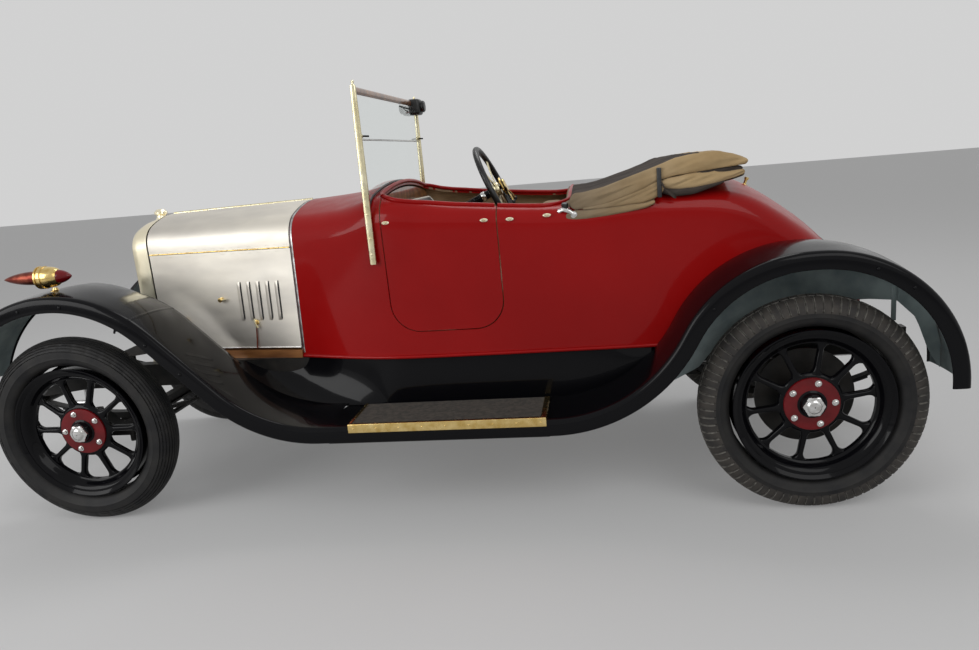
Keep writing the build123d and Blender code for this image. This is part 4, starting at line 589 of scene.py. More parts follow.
def height_at(section, y):
    # The height of a section's top skin at a distance from the middle
    across, rise, waist_z = shoulder_of(section)
    y = min(abs(y), section.waist_half - 1e-4)
    if y < section.crown_radius * cos(atan2(rise, across)):
        return section.crown_z - section.crown_radius + sqrt(section.crown_radius ** 2 - y ** 2)
    return waist_z + sqrt(section.shoulder_radius ** 2 - (y - across) ** 2)


def side_at(section, z):
    # How far out the flat side of a section lies at a height below its waist
    waist_z = shoulder_of(section)[2]
    lean = (section.waist_half - section.low_half) / (waist_z - BODY_BOTTOM)
    return section.waist_half - lean * (waist_z - z)


def hoop(section, bottom, grow=0.0, **steps):
    # A section's outline right over the car, from foot to foot
    half = half_outline(section, bottom, grow, **steps)
    return [Vector((x_at(section.back), y, z)) for y, z in half + [(-y, z) for y, z in half[:-1][::-1]]]


# Body: one skin from the scuttle to the tail, with the cockpit and the door cut from it
BODY_THICKNESS = 0.014
STATION_SPACING = 0.03
stations = []
for before, after in zip(BODY_SECTIONS, BODY_SECTIONS[1:]):
    span = after.back - before.back
    steps = max(2, int(span / STATION_SPACING))
    stations += [before.back + span * step / steps for step in range(steps)]
stations.append(BODY_END.back)
body_loops = []
for back in stations:
    section = body_section(back)
    body_loops.append(hoop(section, BODY_BOTTOM) + hoop(section, BODY_BOTTOM, -BODY_THICKNESS)[::-1])
body_shell = bar("body_shell", body_loops, "car", body_red, tan_leather)

OPENING_FRONT = 1.272
OPENING_REAR = 1.990
OPENING_HALF = 0.458
DOOR_FRONT = 1.285
DOOR_REAR = 1.722
DOOR_LOW_Z = 0.690
DOOR_CUT = (0.36, 0.7)
OUTLINE_SPACING = 0.012


def opening_outline():
    # The cockpit opening from above, with large round corners
    front, rear = x_at(OPENING_FRONT), x_at(OPENING_REAR)
    corners = [(front, 0), (front, OPENING_HALF), (rear, OPENING_HALF), (rear, 0)]
    left = filleted(corners, [0.085, 0.12], OUTLINE_SPACING)
    return [(p.x, p.y) for p in left] + [(p.x, -p.y) for p in left[1:-1][::-1]]


def door_outline(grow):
    # The door from the side, open at the top
    front, rear, low, above = x_at(DOOR_FRONT) + grow, x_at(DOOR_REAR) - grow, DOOR_LOW_Z - grow, 1.4
    corners = [(front, above), (front, low), (rear, low), (rear, above)]
    return [(p.x, p.y) for p in filleted(corners, [0.110 + grow] * 2, OUTLINE_SPACING)]


opening_line = opening_outline()
opening_prism = prism("opening_cutter", opening_line, 0.75, 1.6, "Z")
cut(body_shell, opening_prism)
door_prism = prism("door_cutter", door_outline(0.0), *DOOR_CUT, "Y")
door_gap_prism = prism("door_gap_cutter", door_outline(0.004), *DOOR_CUT, "Y")
door_panel = bpy.data.objects.new("door_panel", body_shell.data.copy())
place(door_panel, "door_left")
cut(door_panel, door_prism, "INTERSECT")
cut(body_shell, door_gap_prism)
for cutter in (opening_prism, door_prism, door_gap_prism):
    bpy.data.objects.remove(cutter)
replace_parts(body_shell, "scuttle", "cockpit_sides", "tail")
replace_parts(door_panel, "door_left")


def line_inside(panel):
    # The faces that look into the cabin take the second material
    depth = BODY_THICKNESS * 0.6
    for face in panel.data.polygons:
        spot = face.center
        section = body_section(min(max(FRONT_AXLE_X - spot.x, BONNET_REAR.back), BODY_END.back))
        under = height_at(section, spot.y) - spot.z
        if abs(spot.y) > 0.3:
            inside = side_at(section, spot.z) - abs(spot.y) > depth and under > 0.008
        else:
            inside = under > depth
        face.material_index = 1 if inside else 0


line_inside(body_shell)
line_inside(door_panel)

# Tail panel: a shoulder turned in from the last section, scaled towards the foot of its middle
tail_rows = []
for shrink, share, inset in ((0.001, 1.0, 0.0), (0.010, 1.0, 0.010), (0.010, 0.95, 0.015),
                             (0.010, 0.85, 0.018), (0.010, 0.6, 0.018), (0.010, 0.3, 0.018)):
    tail_rows.append([
        Vector((point.x - inset, point.y * share, BODY_BOTTOM + (point.z - BODY_BOTTOM) * share))
        for point in hoop(BODY_END, BODY_BOTTOM, -shrink)
    ])
skin("tail_panel", tail_rows, "car", body_red, caps=True)


# Bonnet: two top and two side sheets between the radiator and the scuttle
BONNET_SPLIT_Z = 1.035
BONNET_LOW_Z = 0.618
BONNET_SHEET = 0.003
LOUVRE_BACKS = [0.600 + 0.044 * number for number in range(5)]
LOUVRE_LOW = 0.738
LOUVRE_HIGH = 0.902
LOUVRE_LENGTH = 0.016


def along_bonnet(share, front_gap=0.004, rear_gap=0.005):
    # A place along the bonnet, from a gap behind its front edge to a gap before its rear edge
    length = BONNET_REAR.back - BONNET_FRONT.back - front_gap - rear_gap
    return BONNET_FRONT.back + front_gap + length * share


def on_bonnet(back, z, side, out=0.0):
    # A point on the bonnet's flank, or a little outside it
    return Vector((x_at(back), side * (side_at(bonnet_section(back), z) + out), z))


def beside(point, side, moves):
    # Points at given moves from one: forward, outward and up
    return [Vector(point) + Vector((ahead, side * out, up)) for ahead, out, up in moves]


def between_heights(points, low, high):
    # The part of a half outline between two heights, with its ends set exactly on them
    kept = []
    for before, after in zip(points, points[1:]):
        for limit in (low, high):
            if (before[1] - limit) * (after[1] - limit) < 0:
                share = (limit - before[1]) / (after[1] - before[1])
                kept.append(Vector(before).lerp(Vector(after), share))
        if low <= after[1] <= high:
            kept.append(Vector(after))
    return kept


def evenly(points, steps):
    # The same line as evenly spaced points
    lengths = [0.0]
    for before, after in zip(points, points[1:]):
        lengths.append(lengths[-1] + (after - before).length)
    row = []
    at = 0
    for step in range(steps + 1):
        wanted = lengths[-1] * step / steps
        while at < len(lengths) - 2 and lengths[at + 1] < wanted:
            at += 1
        span = lengths[at + 1] - lengths[at]
        row.append(points[at].lerp(points[at + 1], (wanted - lengths[at]) / span if span > 0 else 0))
    return row


def sheet_panel(name, side, low, high, inner_y, body):
    # A thin sheet that follows the bonnet between two heights
    rows = []
    for step in range(29):
        section = bonnet_section(along_bonnet(step / 28))
        loop = []
        for grow, way in ((0.0, 1), (-BONNET_SHEET, -1)):
            outline = half_outline(section, BONNET_LOW_Z, grow, inner_y, sides=40, shoulder=14)
            loop += evenly(between_heights(outline, low, high), 30)[::way]
        rows.append([Vector((x_at(section.back), side * y, z)) for y, z in loop])
    return bar(name, rows, body, polished_aluminium, sharp=50)


def louvre(name, back, side, body):
    # A pressed louvre: it swells from flush at the front to a slit that faces the rear. A dark strip set in
    # the slit is painted shade
    rows = [[] for step in range(9)]
    slit_shade = []
    for j in range(17):
        up = j / 16
        z = LOUVRE_LOW + (LOUVRE_HIGH - LOUVRE_LOW) * up
        bulge = sin(pi / 2 * min(1.0, min(up, 1 - up) * 9))
        for step, row in enumerate(rows):
            share = step / 8
            swell = 0.0004 + 0.0060 * sin(share * pi / 2) * bulge
            row.append(on_bonnet(back - LOUVRE_LENGTH * (1 - share), z, side, swell))
        edge = on_bonnet(back, z, side)
        slit_shade.append(beside(edge, side, [(0.0004, 0.0054 * bulge, 0), (-0.005, 0.0005, 0)]))
    skin(name, rows, body, polished_aluminium, sharp=60)
    # Painted shade: a dark strip stands for the shadow in the louvre's opening
    skin(name + "_slit", slit_shade, body, black_plastic)


def bonnet_hinge(side_name, side):
    # Between top and side: a rod in knuckles, and paired rivets above and below it
    ends = [on_bonnet(along_bonnet(share), BONNET_SPLIT_Z, side, 0.0005) for share in (0, 1)]
    knuckles = 14
    for number in range(knuckles):
        knuckle = [ends[0].lerp(ends[1], (number + share) / knuckles) for share in (0.03, 0.97)]
        tube(f"side_hinge_{side_name}_{number + 1}", knuckle, 0.0032, "bonnet_top_" + side_name, brass)
    for body, drop in (("bonnet_side_" + side_name, -0.013), ("bonnet_top_" + side_name, 0.013)):
        rivets = []
        for number in range(16):
            for apart in (0.0, 0.011):
                back = along_bonnet(number / 15, 0.02, 0.03) + apart
                rivets.append(lathe("rivet", [(-0.001, 0.0026), (0.0006, 0.0023), (0.0014, 0.0)],
                                    on_bonnet(back, BONNET_SPLIT_Z + drop, side), (0, side, 0), body,
                                    polished_aluminium, 8))
        join_pieces(body + "_rivets", rivets)


def bonnet_catches(side_name, side):
    # Two turn handles that hold the side shut, a rod under the rear one, and a knob with its lever
    body = "bonnet_side_" + side_name
    outward = (0, side, 0)
    for number, (back, z) in enumerate([(0.312, 0.745), (0.656, 0.730)], 1):
        foot = on_bonnet(back, z, side)
        plate = [(-0.002, 0.0), (-0.002, 0.012), (0.002, 0.011), (0.004, 0.007), (0.014, 0.0065),
                 (0.014, 0.0)]
        lathe(f"bonnet_catch_plate_{side_name}_{number}", plate, foot, outward, body, brass)
        handle = beside(foot, side, [(0.004, 0.014, 0.018), (0.002, 0.017, 0.006), (-0.002, 0.017, -0.008),
                                     (-0.005, 0.013, -0.020)])
        tube(f"bonnet_catch_handle_{side_name}_{number}", handle,
             lambda share: 0.0045 + 0.0015 * cos(share * 2 * pi), body, old_brass)
    rod = []
    for z, ahead, out, up in ((0.710, -0.003, 0.006, 0.0), (0.660, 0.001, 0.006, 0.0),
                              (0.622, 0.005, 0.007, -0.002)):
        rod += beside(on_bonnet(0.65, z, side), side, [(ahead, out, up)])
    tube("bonnet_catch_rod_" + side_name, rod, 0.0028, body, dark_copper_and_reflection)
    foot = on_bonnet(0.505, 0.832, side)
    knob = [(-0.002, 0.0), (-0.002, 0.010), (0.003, 0.009), (0.005, 0.005), (0.011, 0.005), (0.014, 0.009),
            (0.020, 0.010), (0.023, 0.007), (0.024, 0.0)]
    lathe("bonnet_knob_" + side_name, knob, foot, outward, body, brass)
    lever = beside(foot, side, [(0, 0.016, 0), (-0.012, 0.017, -0.001), (-0.024, 0.014, 0.001)])
    tube("bonnet_knob_lever_" + side_name, lever, 0.0032, body, old_brass)


for side_name, side in SIDES:
    top = "bonnet_top_" + side_name
    flank = "bonnet_side_" + side_name
    above, below = BONNET_SPLIT_Z + 0.0025, BONNET_SPLIT_Z - 0.0025
    sheet = sheet_panel("bonnet_top_skin_" + side_name, side, above, 2.0, 0.006, top)
    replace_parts(sheet, top)
    sheet = sheet_panel("bonnet_side_skin_" + side_name, side, BONNET_LOW_Z + 0.001, below, 0.0, flank)
    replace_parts(sheet, flank)
    for number, back in enumerate(LOUVRE_BACKS, 1):
        louvre(f"louvre_{side_name}_{number}", back, side, flank)
    bonnet_hinge(side_name, side)
    bead = [on_bonnet(along_bonnet(step / 19, 0.006, 0.006), BONNET_LOW_Z + 0.004, side, 0.001)
            for step in range(20)]
    tube("bonnet_lower_bead_" + side_name, bead, 0.0032, flank, bright_steel)
    bonnet_catches(side_name, side)

# Centre hinge: knuckles along the ridge
for number in range(16):
    ridge = []
    for share in (0.02, 0.98):
        section = bonnet_section(along_bonnet((number + share) / 16))
        ridge.append((x_at(section.back), 0, section.crown_z + 0.0005))
    tube(f"ridge_hinge_{number + 1}", ridge, 0.0060, "car", old_brass)

# Lacing strip between bonnet and scuttle, and a bright edge on the scuttle's first inch
SCUTTLE_LOW_Z = 0.600
lace = [hoop(bonnet_section(back), SCUTTLE_LOW_Z, grow)
        for back, grow in ((0.8505, -0.004), (0.8505, -0.0005), (0.8548, -0.0005), (0.8548, -0.004))]
skin("lacing_strip", lace, "car", black_plastic, wrap_rows=True)
band = [hoop(body_section(back), SCUTTLE_LOW_Z, grow)
        for back, grow in ((0.8560, -0.003), (0.8560, 0.0006), (0.8575, 0.0012), (0.8635, 0.0012),
                           (0.8650, 0.0006), (0.8650, -0.003))]
skin("scuttle_band", band, "car", steel, wrap_rows=True)

# Radiator shell: rolled front edge, then the sides back to the bonnet
RADIATOR_LOW_Z = 0.560
shell_rows = []
for back, grow in ((0.150, -0.028), (0.112, -0.028), (0.1, -0.024), (0.0955, -0.017), (0.0955, -0.010),
                   (0.098, -0.004), (0.104, -0.0005), (0.125, 0.0), (0.150, 0.0), (0.170, 0.0),
                   (0.1785, 0.0), (0.1785, -0.004), (0.165, -0.006)):
    section = straight_between(NOSE, BONNET_FRONT, back)
    shell_rows.append(hoop(section, RADIATOR_LOW_Z, grow, sides=20, shoulder=16, crown=24))
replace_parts(skin("radiator_skin", shell_rows, "car", nickel, sharp=55), "radiator_shell")

# Radiator cap: height and radius down its outline, and whether the grip's notches cut it there
CAP_PROFILE = [
    (-0.058, 0.0, 0), (-0.058, 0.033, 0), (-0.050, 0.032, 0), (-0.044, 0.025, 0), (-0.036, 0.020, 0),
    (-0.028, 0.019, 0), (-0.024, 0.025, 0), (-0.022, 0.029, 1), (-0.012, 0.029, 1), (-0.010, 0.026, 0),
    (-0.007, 0.022, 0), (-0.002, 0.018, 0), (0.000, 0.010, 0), (0.000, 0.0, 0),
]
CAP_TOP = Vector((x_at(0.121), 0, 1.217))
cap_rows = []
for step in range(64):
    angle = 2 * pi * step / 64
    notch = 0.0035 if step // 4 % 2 else 0.0
    cap_rows.append([
        CAP_TOP + Vector((cos(angle), sin(angle), 0)) * (radius - notch * cuts) + Vector((0, 0, up))
        for up, radius, cuts in CAP_PROFILE
    ])
cap = skin("radiator_cap_turned", cap_rows, "car", nickel, wrap_rows=True, sharp=35)
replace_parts(cap, "radiator_cap")

# Beads: round the cockpit's edge, where the stretch over the door goes with it, and along the lower edge
COAMING_RADIUS = 0.0085
coaming = [Vector((x, y, height_at(body_section(FRONT_AXLE_X - x), y) + 0.002)) for x, y in opening_line]
over_door = [index for index, point in enumerate(coaming)
             if point.y > 0 and x_at(1.716) < point.x < x_at(1.291)]
first, last = over_door[0], over_door[-1]
tube("door_bead", coaming[first:last + 1], COAMING_RADIUS, "door_left", body_red, sides=16)
tube("cockpit_bead", coaming[last + 1:] + coaming[:first], COAMING_RADIUS, "car", body_red, sides=16)
for side_name, side in SIDES:
    lower = []
    for back in stations:
        out = side_at(body_section(back), BODY_BOTTOM + 0.012) + 0.001
        lower.append((x_at(back), side * out, BODY_BOTTOM + 0.006))
    tube("body_lower_bead_" + side_name, lower, 0.007, "car", body_red, sides=14)

# Wings: one outline from the front tip over the wheel to the board, and up over the rear wheel. A wing
# has its inner edge's place across the car, a line with its normals, and how far its inner part hangs
Wing = namedtuple("Wing", "inner_y path ups droop")
BOARD_Z = 0.398
BOARD_INNER = 0.470
WING_OUT = 0.730
WING_CORNER = 0.020
FRONT_WING_LINE = [(1.882, 0.575), (1.747, 0.952), (1.134, 0.952), (0.580, BOARD_Z), (0.322, BOARD_Z)]
FRONT_WING_RADII = [0.540, 0.545, 0.525]
FRONT_DROOP = [(1.382, 0.0), (1.182, 0.028), (0.782, 0.028), (0.482, 0.0)]
REAR_WING_LINE = [(-0.498, BOARD_Z), (-0.8164, BOARD_Z), (-1.112, 0.938), (-1.887, 0.938), (-1.887, 0.455)]
REAR_WING_RADII = [0.520, 0.480, 0.470]
FRONT_BOLTS = (1.482, 1.294, 0.956, 0.838)
REAR_BOLTS = (-1.72, -1.60, -1.05)


def wing_profile(inner_y):
    # Across the wing: inner turned-down edge, slight dome, round outer edge, deep lip with a rolled foot
    start = inner_y + 0.004
    corner = WING_OUT - WING_CORNER
    outer = [(inner_y, -0.014), (inner_y, -0.004), (start, 0.0)]
    for step in range(1, 13):
        share = step / 12
        outer.append((start + (corner - start) * share, 0.012 * sin(pi * share) * (1 - 0.4 * share)))
    for step in range(1, 7):
        angle = pi / 2 * step / 6
        outer.append((corner + WING_CORNER * sin(angle), WING_CORNER * (cos(angle) - 1)))
    outer += [(WING_OUT + 0.001, drop) for drop in (-0.032, -0.044, -0.053)]
    for step in range(1, 8):
        angle = pi * step / 7
        outer.append((WING_OUT - 0.004 + 0.005 * cos(angle), -0.056 - 0.005 * sin(angle)))
    return [Vector(point) for point in outer]


def droop_at(wing, x, across):
    # How far the wing's inner part hangs below its outer ridge at a place along the car
    amount = 0.0
    for (x1, low), (x2, high) in zip(wing.droop, wing.droop[1:]):
        if x2 <= x <= x1:
            amount = low + (high - low) * (x1 - x) / (x1 - x2)
    corner = WING_OUT - WING_CORNER
    inward = min(1.0, max(0.0, (corner - across) / (corner - wing.inner_y)))
    return amount * inward ** 1.2


def new_wing(inner_y, line, radii, droop=()):
    path = filleted(line, radii, 0.022)
    return Wing(inner_y, path, normals_of(path), droop)


def wing_point(wing, point, up, side, across, lift):
    raised = lift - droop_at(wing, point.x, across)
    return Vector((point.x + up.x * raised, side * across, point.y + up.y * raised))


def wing_skin(name, wing, side, node):
    # Enamel above and a painted sheet a little inside it
    outer = wing_profile(wing.inner_y)
    inner = [point + normal * 0.0025 for point, normal in zip(outer, normals_of(outer))]
    rows = [[wing_point(wing, point, up, side, across, lift) for across, lift in outer + inner[::-1]]
            for point, up in zip(wing.path, wing.ups)]
    piece = bar(name, rows, "car", black_enamel, under_grey, sharp=60)

    def rounded(point):
        return tuple(round(value, 4) for value in point)

    under = {rounded(point) for row in rows for point in row[len(outer) + 8:-1]}
    for face in piece.data.polygons:
        corners = {rounded(piece.data.vertices[index].co) for index in face.vertices}
        face.material_index = 1 if corners <= under else 0
    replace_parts(piece, node)


def crossing(path, x):
    # The stretch of a line that passes over a place along the car, and the share along it
    for index, (a, b) in enumerate(zip(path, path[1:])):
        if (a.x - x) * (b.x - x) <= 0 and abs(a.x - b.x) > 1e-6:
            return index, (x - a.x) / (b.x - a.x)
    return None


def wing_at(wing, x):
    # The place on a wing's outline straight above a place along the car, and its normal
    index, share = crossing(wing.path, x)
    up = wing.ups[index].lerp(wing.ups[index + 1], share).normalized()
    return wing.path[index].lerp(wing.path[index + 1], share), up


def wing_bolts(name, wing, side, places, drop, radius):
    # Heads along the outer lip
    bolts = []
    for x in places:
        point, up = wing_at(wing, x)
        spot = wing_point(wing, point, up, side, WING_OUT + 0.001, -drop)
        bolts.append(dome("bolt", spot, (0, side, 0), radius, 0.005, "car", black_enamel))
    join_pieces(name, bolts)


def wing_seam(name, wing, side):
    # Where the wing's nose is joined to its tail, a raised strip across the top
    strip = []
    for x, rise in ((1.030, 0.0), (1.034, 0.0012), (1.038, 0.0012), (1.042, 0.0)):
        point, up = wing_at(wing, x)
        strip.append([wing_point(wing, point, up, side, across, lift + rise)
                      for across, lift in wing_profile(wing.inner_y)[2:18]])
    skin(name, strip, "car", black_enamel)


front_wing = new_wing(0.380, FRONT_WING_LINE, FRONT_WING_RADII, FRONT_DROOP)
rear_wing = new_wing(0.400, REAR_WING_LINE, REAR_WING_RADII)
for side_name, side in SIDES:
    wing_skin("front_wing_skin_" + side_name, front_wing, side, "front_wing_" + side_name)
    wing_bolts("front_wing_bolts_" + side_name, front_wing, side, FRONT_BOLTS, 0.038, 0.0075)
    wing_seam("front_wing_seam_" + side_name, front_wing, side)
    wing_skin("rear_wing_skin_" + side_name, rear_wing, side, "rear_wing_" + side_name)
    wing_bolts("rear_wing_bolts_" + side_name, rear_wing, side, REAR_BOLTS, 0.034, 0.0065)

TOP_LINES = [filleted(FRONT_WING_LINE, FRONT_WING_RADII, 0.012),
             filleted(REAR_WING_LINE, REAR_WING_RADII, 0.012)]


def wing_height(x):
    # The height of the wings' and boards' top line over a place along the car
    for path in TOP_LINES:
        hit = crossing(path, x)
        if hit:
            index, share = hit
            return path[index].lerp(path[index + 1], share).y
    return BOARD_Z


def table_at(table, at):
    # Values of a table of rows at a place between its rows
    for before, after in zip(table, table[1:]):
        if at <= after[0]:
            break
    share = min(1.0, max(0.0, (at - before[0]) / (after[0] - before[0])))
    return [a + (b - a) * share for a, b in zip(before, after)]


# Splash plates inside the rear wheels: place behind the front axle and height of the lower edge
SPLASH_EDGE = [(2.240, 0.425), (2.300, 0.433), (2.430, 0.500), (2.560, 0.660), (2.700, 0.722),
               (3.018, 0.722), (3.111, 0.713), (3.178, 0.646), (3.225, 0.517), (3.262, 0.460)]
for side_name, side in SIDES:
    rows = []
    for step in range(70):
        back = SPLASH_EDGE[0][0] + (SPLASH_EDGE[-1][0] - SPLASH_EDGE[0][0]) * step / 69
        top = wing_height(x_at(back)) - 0.001
        low = min(table_at(SPLASH_EDGE, back)[1], top - 0.002)
        heights = [low + (top - low) * share / 8 for share in range(9)]
        rows.append([Vector((x_at(back), side * 0.4932, z)) for z in heights]
                    + [Vector((x_at(back), side * 0.4908, z)) for z in heights[::-1]])
    bar("splash_plate_" + side_name, rows, "car", under_grey, sharp=60)
    rounded_block("rear_wing_stay_" + side_name, (x_at(3.110), side * 0.494, 0.640),
                  (x_at(3.093), side * 0.498, 0.780), 0.0015, "car", under_grey)


def running_board(side_name, side):
    # Its outer edge carries the wings' lip on. At the front it takes up a share of the wing's dome
    rows = []
    for x, dome_share in ((0.322, 1.0), (0.298, 0.6), (0.274, 0.2), (0.256, 0.0), (0.1, 0.0), (-0.2, 0.0),
                          (-0.498, 0.0)):
        profile = [(across, BOARD_Z + (lift * dome_share if lift > 0 else lift))
                   for across, lift in wing_profile(BOARD_INNER)]
        under = [(across - 0.003, z - 0.003) for across, z in profile[::-1]]
        rows.append([Vector((x, side * across, z)) for across, z in profile + under])
    return bar("running_board_" + side_name, rows, "car", black_enamel, sharp=60)


boards = [running_board(side_name, side) for side_name, side in SIDES]
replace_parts(boards[1], "running_boards")

# Step: a ribbed mat on the board, with a brass edge outside and a strip at each end
MAT_FRONT = x_at(1.140)
MAT_REAR = x_at(1.872)
MAT_INNER = 0.488
MAT_OUTER = 0.716
STEP_OUT = 0.7335
RIBS = 60


def step_mat(side_name, side):
    rows = []
    for step in range(RIBS * 4 + 1):
        across = MAT_INNER + (MAT_OUTER - MAT_INNER) * step / (RIBS * 4)
        z = BOARD_Z + (0.0082 if step % 4 in (1, 2) else 0.006)
        rows.append([Vector((x, side * across, z)) for x in (MAT_FRONT - 0.006, MAT_REAR + 0.006)])
    return skin("step_mat_" + side_name, rows, "car", mat_rubber, sharp=30)


def step_edges(side_name, side):
    rounded_block("step_edge_front_" + side_name, (MAT_REAR, side * MAT_OUTER, BOARD_Z - 0.022),
                  (MAT_FRONT, side * STEP_OUT, BOARD_Z + 0.0115), 0.002, "car", brass)
    ends = []
    for x, wide in ((MAT_REAR, 0.020), (MAT_FRONT - 0.010, 0.010)):
        low = (x, side * (MAT_INNER - 0.004), BOARD_Z - 0.001)
        high = (x + wide, side * (MAT_OUTER + 0.002), BOARD_Z + 0.011)
        ends.append(rounded_block("edge", low, high, 0.002, "car", brass))
    join_pieces("step_edge_ends_" + side_name, ends)
    pins = []
    for number in range(9):
        x = MAT_REAR + 0.02 + (MAT_FRONT - MAT_REAR - 0.04) * number / 8
        pins.append(dome("pin", (x, side * STEP_OUT, BOARD_Z - 0.006), (0, side, 0), 0.0035, 0.002, "car",
                         brass, 10))
    join_pieces("step_edge_pins_" + side_name, pins)


for side_name, side in SIDES:
    mat = step_mat(side_name, side)
    step_edges(side_name, side)
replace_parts(mat, "step_plates")


def valance(side_name, side):
    # A hollow-curved sheet from the body's lower edge out to the board and the wings, with a bead below
    rows = []
    foot = []
    for step in range(91):
        back = 0.600 + (2.262 - 0.600) * step / 90
        x = x_at(back)
        section = body_section(back) if back > BONNET_REAR.back else bonnet_section(back)
        low = min(wing_height(x) - 1.3 * droop_at(front_wing, x, BOARD_INNER), BODY_BOTTOM - 0.001)
        start = Vector((side_at(section, BODY_BOTTOM) - 0.006, BODY_BOTTOM + 0.001))
        end = Vector((BOARD_INNER, low))
        bow = Vector((start.x + 0.012, end.y + (start.y - end.y) * 0.24))
        shares = [number / 16 for number in range(17)]
        line = [start.lerp(bow, share).lerp(bow.lerp(end, share), share) for share in shares]
        under = [point - Vector((0.002, 0.002)) for point in line[::-1]]
        rows.append([Vector((x, side * y, z)) for y, z in line + under])
        foot.append((x, side * BOARD_INNER, low + 0.001))
    sheet = bar("valance_" + side_name, rows, "car", black_enamel, sharp=50)
    tube("valance_foot_bead_" + side_name, foot, 0.0035, "car", black_enamel, sides=10)
    return sheet


sheets = [valance(side_name, side) for side_name, side in SIDES]
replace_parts(sheets[1], "valances")

# Wheels: pressed spokes that flare into a hub disc and a deep rim, and turned hubs
TYRE_CENTRE = 0.329
TYRE_SECTION = 0.059
SPOKES = 10
SPOKE_INNER = 0.103
SPOKE_OUTER = 0.222
INNER_FILLET = 0.026
OUTER_FILLET = 0.034
SPOKE_DEPTH = 0.030


def wheel_point(wheel, along, radius, angle):
    # Along the axle (outward), radius, and angle round it, with the front wheels' camber
    centre, side, lean = wheel
    up = radius * sin(angle)
    out = along * cos(lean) + up * sin(lean)
    rise = up * cos(lean) - along * sin(lean)
    return Vector((centre[0] + radius * cos(angle), centre[1] + side * out, centre[2] + rise))


def wheel_lathe(name, profile, wheel, body, material, segments):
    rows = [[wheel_point(wheel, along, radius, 2 * pi * step / segments) for along, radius in profile]
            for step in range(segments)]
    return skin(name, rows, body, material, wrap_rows=True, wrap_columns=True, sharp=35)


def flare(fillet, rest):
    # How far a fillet stands out at a distance from its end
    return fillet - sqrt(max(0.0, fillet ** 2 - (fillet - max(0.0, rest)) ** 2)) if rest < fillet else 0.0


def spoke_half_width(radius):
    # Slim in the middle, flared into hub and rim, and no wider than its share of the circle
    slim = 0.0092 + 0.0030 * (0.235 - radius) / 0.14
    wide = max(flare(INNER_FILLET, radius - SPOKE_INNER), flare(OUTER_FILLET, SPOKE_OUTER - radius))
    return min(slim + wide, radius * pi / SPOKES + 0.0005)


def bent(value, power):
    # A cosine or sine raised to a power with its sign kept, for ovals that are nearly square
    return abs(value) ** power * (1 if value >= 0 else -1)


def spokes(name, wheel, body, start):
    pieces = []
    for number in range(SPOKES):
        middle = start + 2 * pi * number / SPOKES
        rows = []
        for ring_step in range(29):
            share = ring_step / 28
            radius = 0.090 + (0.232 - 0.090) * share
            half = spoke_half_width(radius)
            row = []
            for step in range(20):
                turn = 2 * pi * step / 20
                along = 0.016 - 0.010 * share - SPOKE_DEPTH / 2 * (1 - bent(sin(turn), 0.8))
                row.append(wheel_point(wheel, along, radius, middle + half * bent(cos(turn), 0.7) / radius))
            rows.append(row)
        pieces.append(bar("spoke", rows, body, black_enamel, sharp=50))
    join_pieces(name, pieces)


# Profiles round the axle: along it and radius. The nut's rows also say which of them are six-sided
RIM_PROFILE = [
    (0.010, 0.217), (0.012, 0.222), (0.018, 0.227), (0.030, 0.233), (0.040, 0.241), (0.044, 0.250),
    (0.046, 0.262), (0.049, 0.268), (0.053, 0.2735), (0.0555, 0.272), (0.0555, 0.268), (0.051, 0.262),
    (0.047, 0.256), (0.040, 0.262), (-0.040, 0.262), (-0.047, 0.256), (-0.051, 0.262), (-0.0555, 0.268),
    (-0.0555, 0.272), (-0.053, 0.2735), (-0.049, 0.268), (-0.046, 0.258), (-0.030, 0.246), (-0.014, 0.238),
    (-0.012, 0.226), (-0.010, 0.217),
]
DISC_PROFILE = [(0.0, 0.030), (0.0, 0.108), (0.006, 0.112), (0.012, 0.108), (0.016, 0.100), (0.017, 0.090),
                (0.017, 0.030)]
FLANGE_PROFILE = [(0.016, 0.030), (0.016, 0.094), (0.018, 0.0955), (0.022, 0.0955), (0.0245, 0.094),
                  (0.0255, 0.088), (0.0255, 0.030)]
BARREL_PROFILE = [(0.020, 0.010), (0.020, 0.052), (0.026, 0.050), (0.029, 0.043), (0.034, 0.041),
                  (0.046, 0.039), (0.048, 0.035), (0.048, 0.010)]
NUT_PROFILE = [(0.046, 0.008, 0), (0.046, 0.033, 0), (0.048, 0.038, 1), (0.055, 0.038, 1),
               (0.057, 0.033, 0), (0.058, 0.025, 0), (0.062, 0.021, 0), (0.0638, 0.016, 0),
               (0.064, 0.002, 0)]
BOLT_PROFILE = [(-0.001, 0.0), (-0.001, 0.0115), (0.002, 0.0115), (0.002, 0.0085), (0.009, 0.0085),
                (0.0105, 0.006), (0.0105, 0.0)]


def hub(label, wheel, body, first_bolt):
    # Disc, red flange, barrel, six-sided nut and five bolts
    wheel_lathe("hub_disc_" + label, DISC_PROFILE, wheel, body, black_enamel, 64)
    wheel_lathe("hub_flange_" + label, FLANGE_PROFILE, wheel, body, hub_red, 72)
    wheel_lathe("hub_barrel_" + label, BARREL_PROFILE, wheel, body, black_enamel, 56)
    nut = []
    for step in range(24):
        angle = 2 * pi * step / 24
        shape = cos(pi / 6) / cos(pi / 3 * (step % 4 / 4) - pi / 6)
        nut.append([wheel_point(wheel, along, radius * (shape if flat else 1), angle)
                    for along, radius, flat in NUT_PROFILE])
    skin("hub_nut_" + label, nut, body, bright_steel, wrap_rows=True, sharp=30)
    axle = wheel_point(wheel, 1, 0, 0) - wheel_point(wheel, 0, 0, 0)
    bolts = []
    for number in range(5):
        spot = wheel_point(wheel, 0.025, 0.077, first_bolt + 2 * pi * number / 5)
        bolts.append(lathe("bolt", BOLT_PROFILE, spot, axle, body, bright_steel, 24, sharp=30))
    join_pieces("hub_bolts_" + label, bolts)


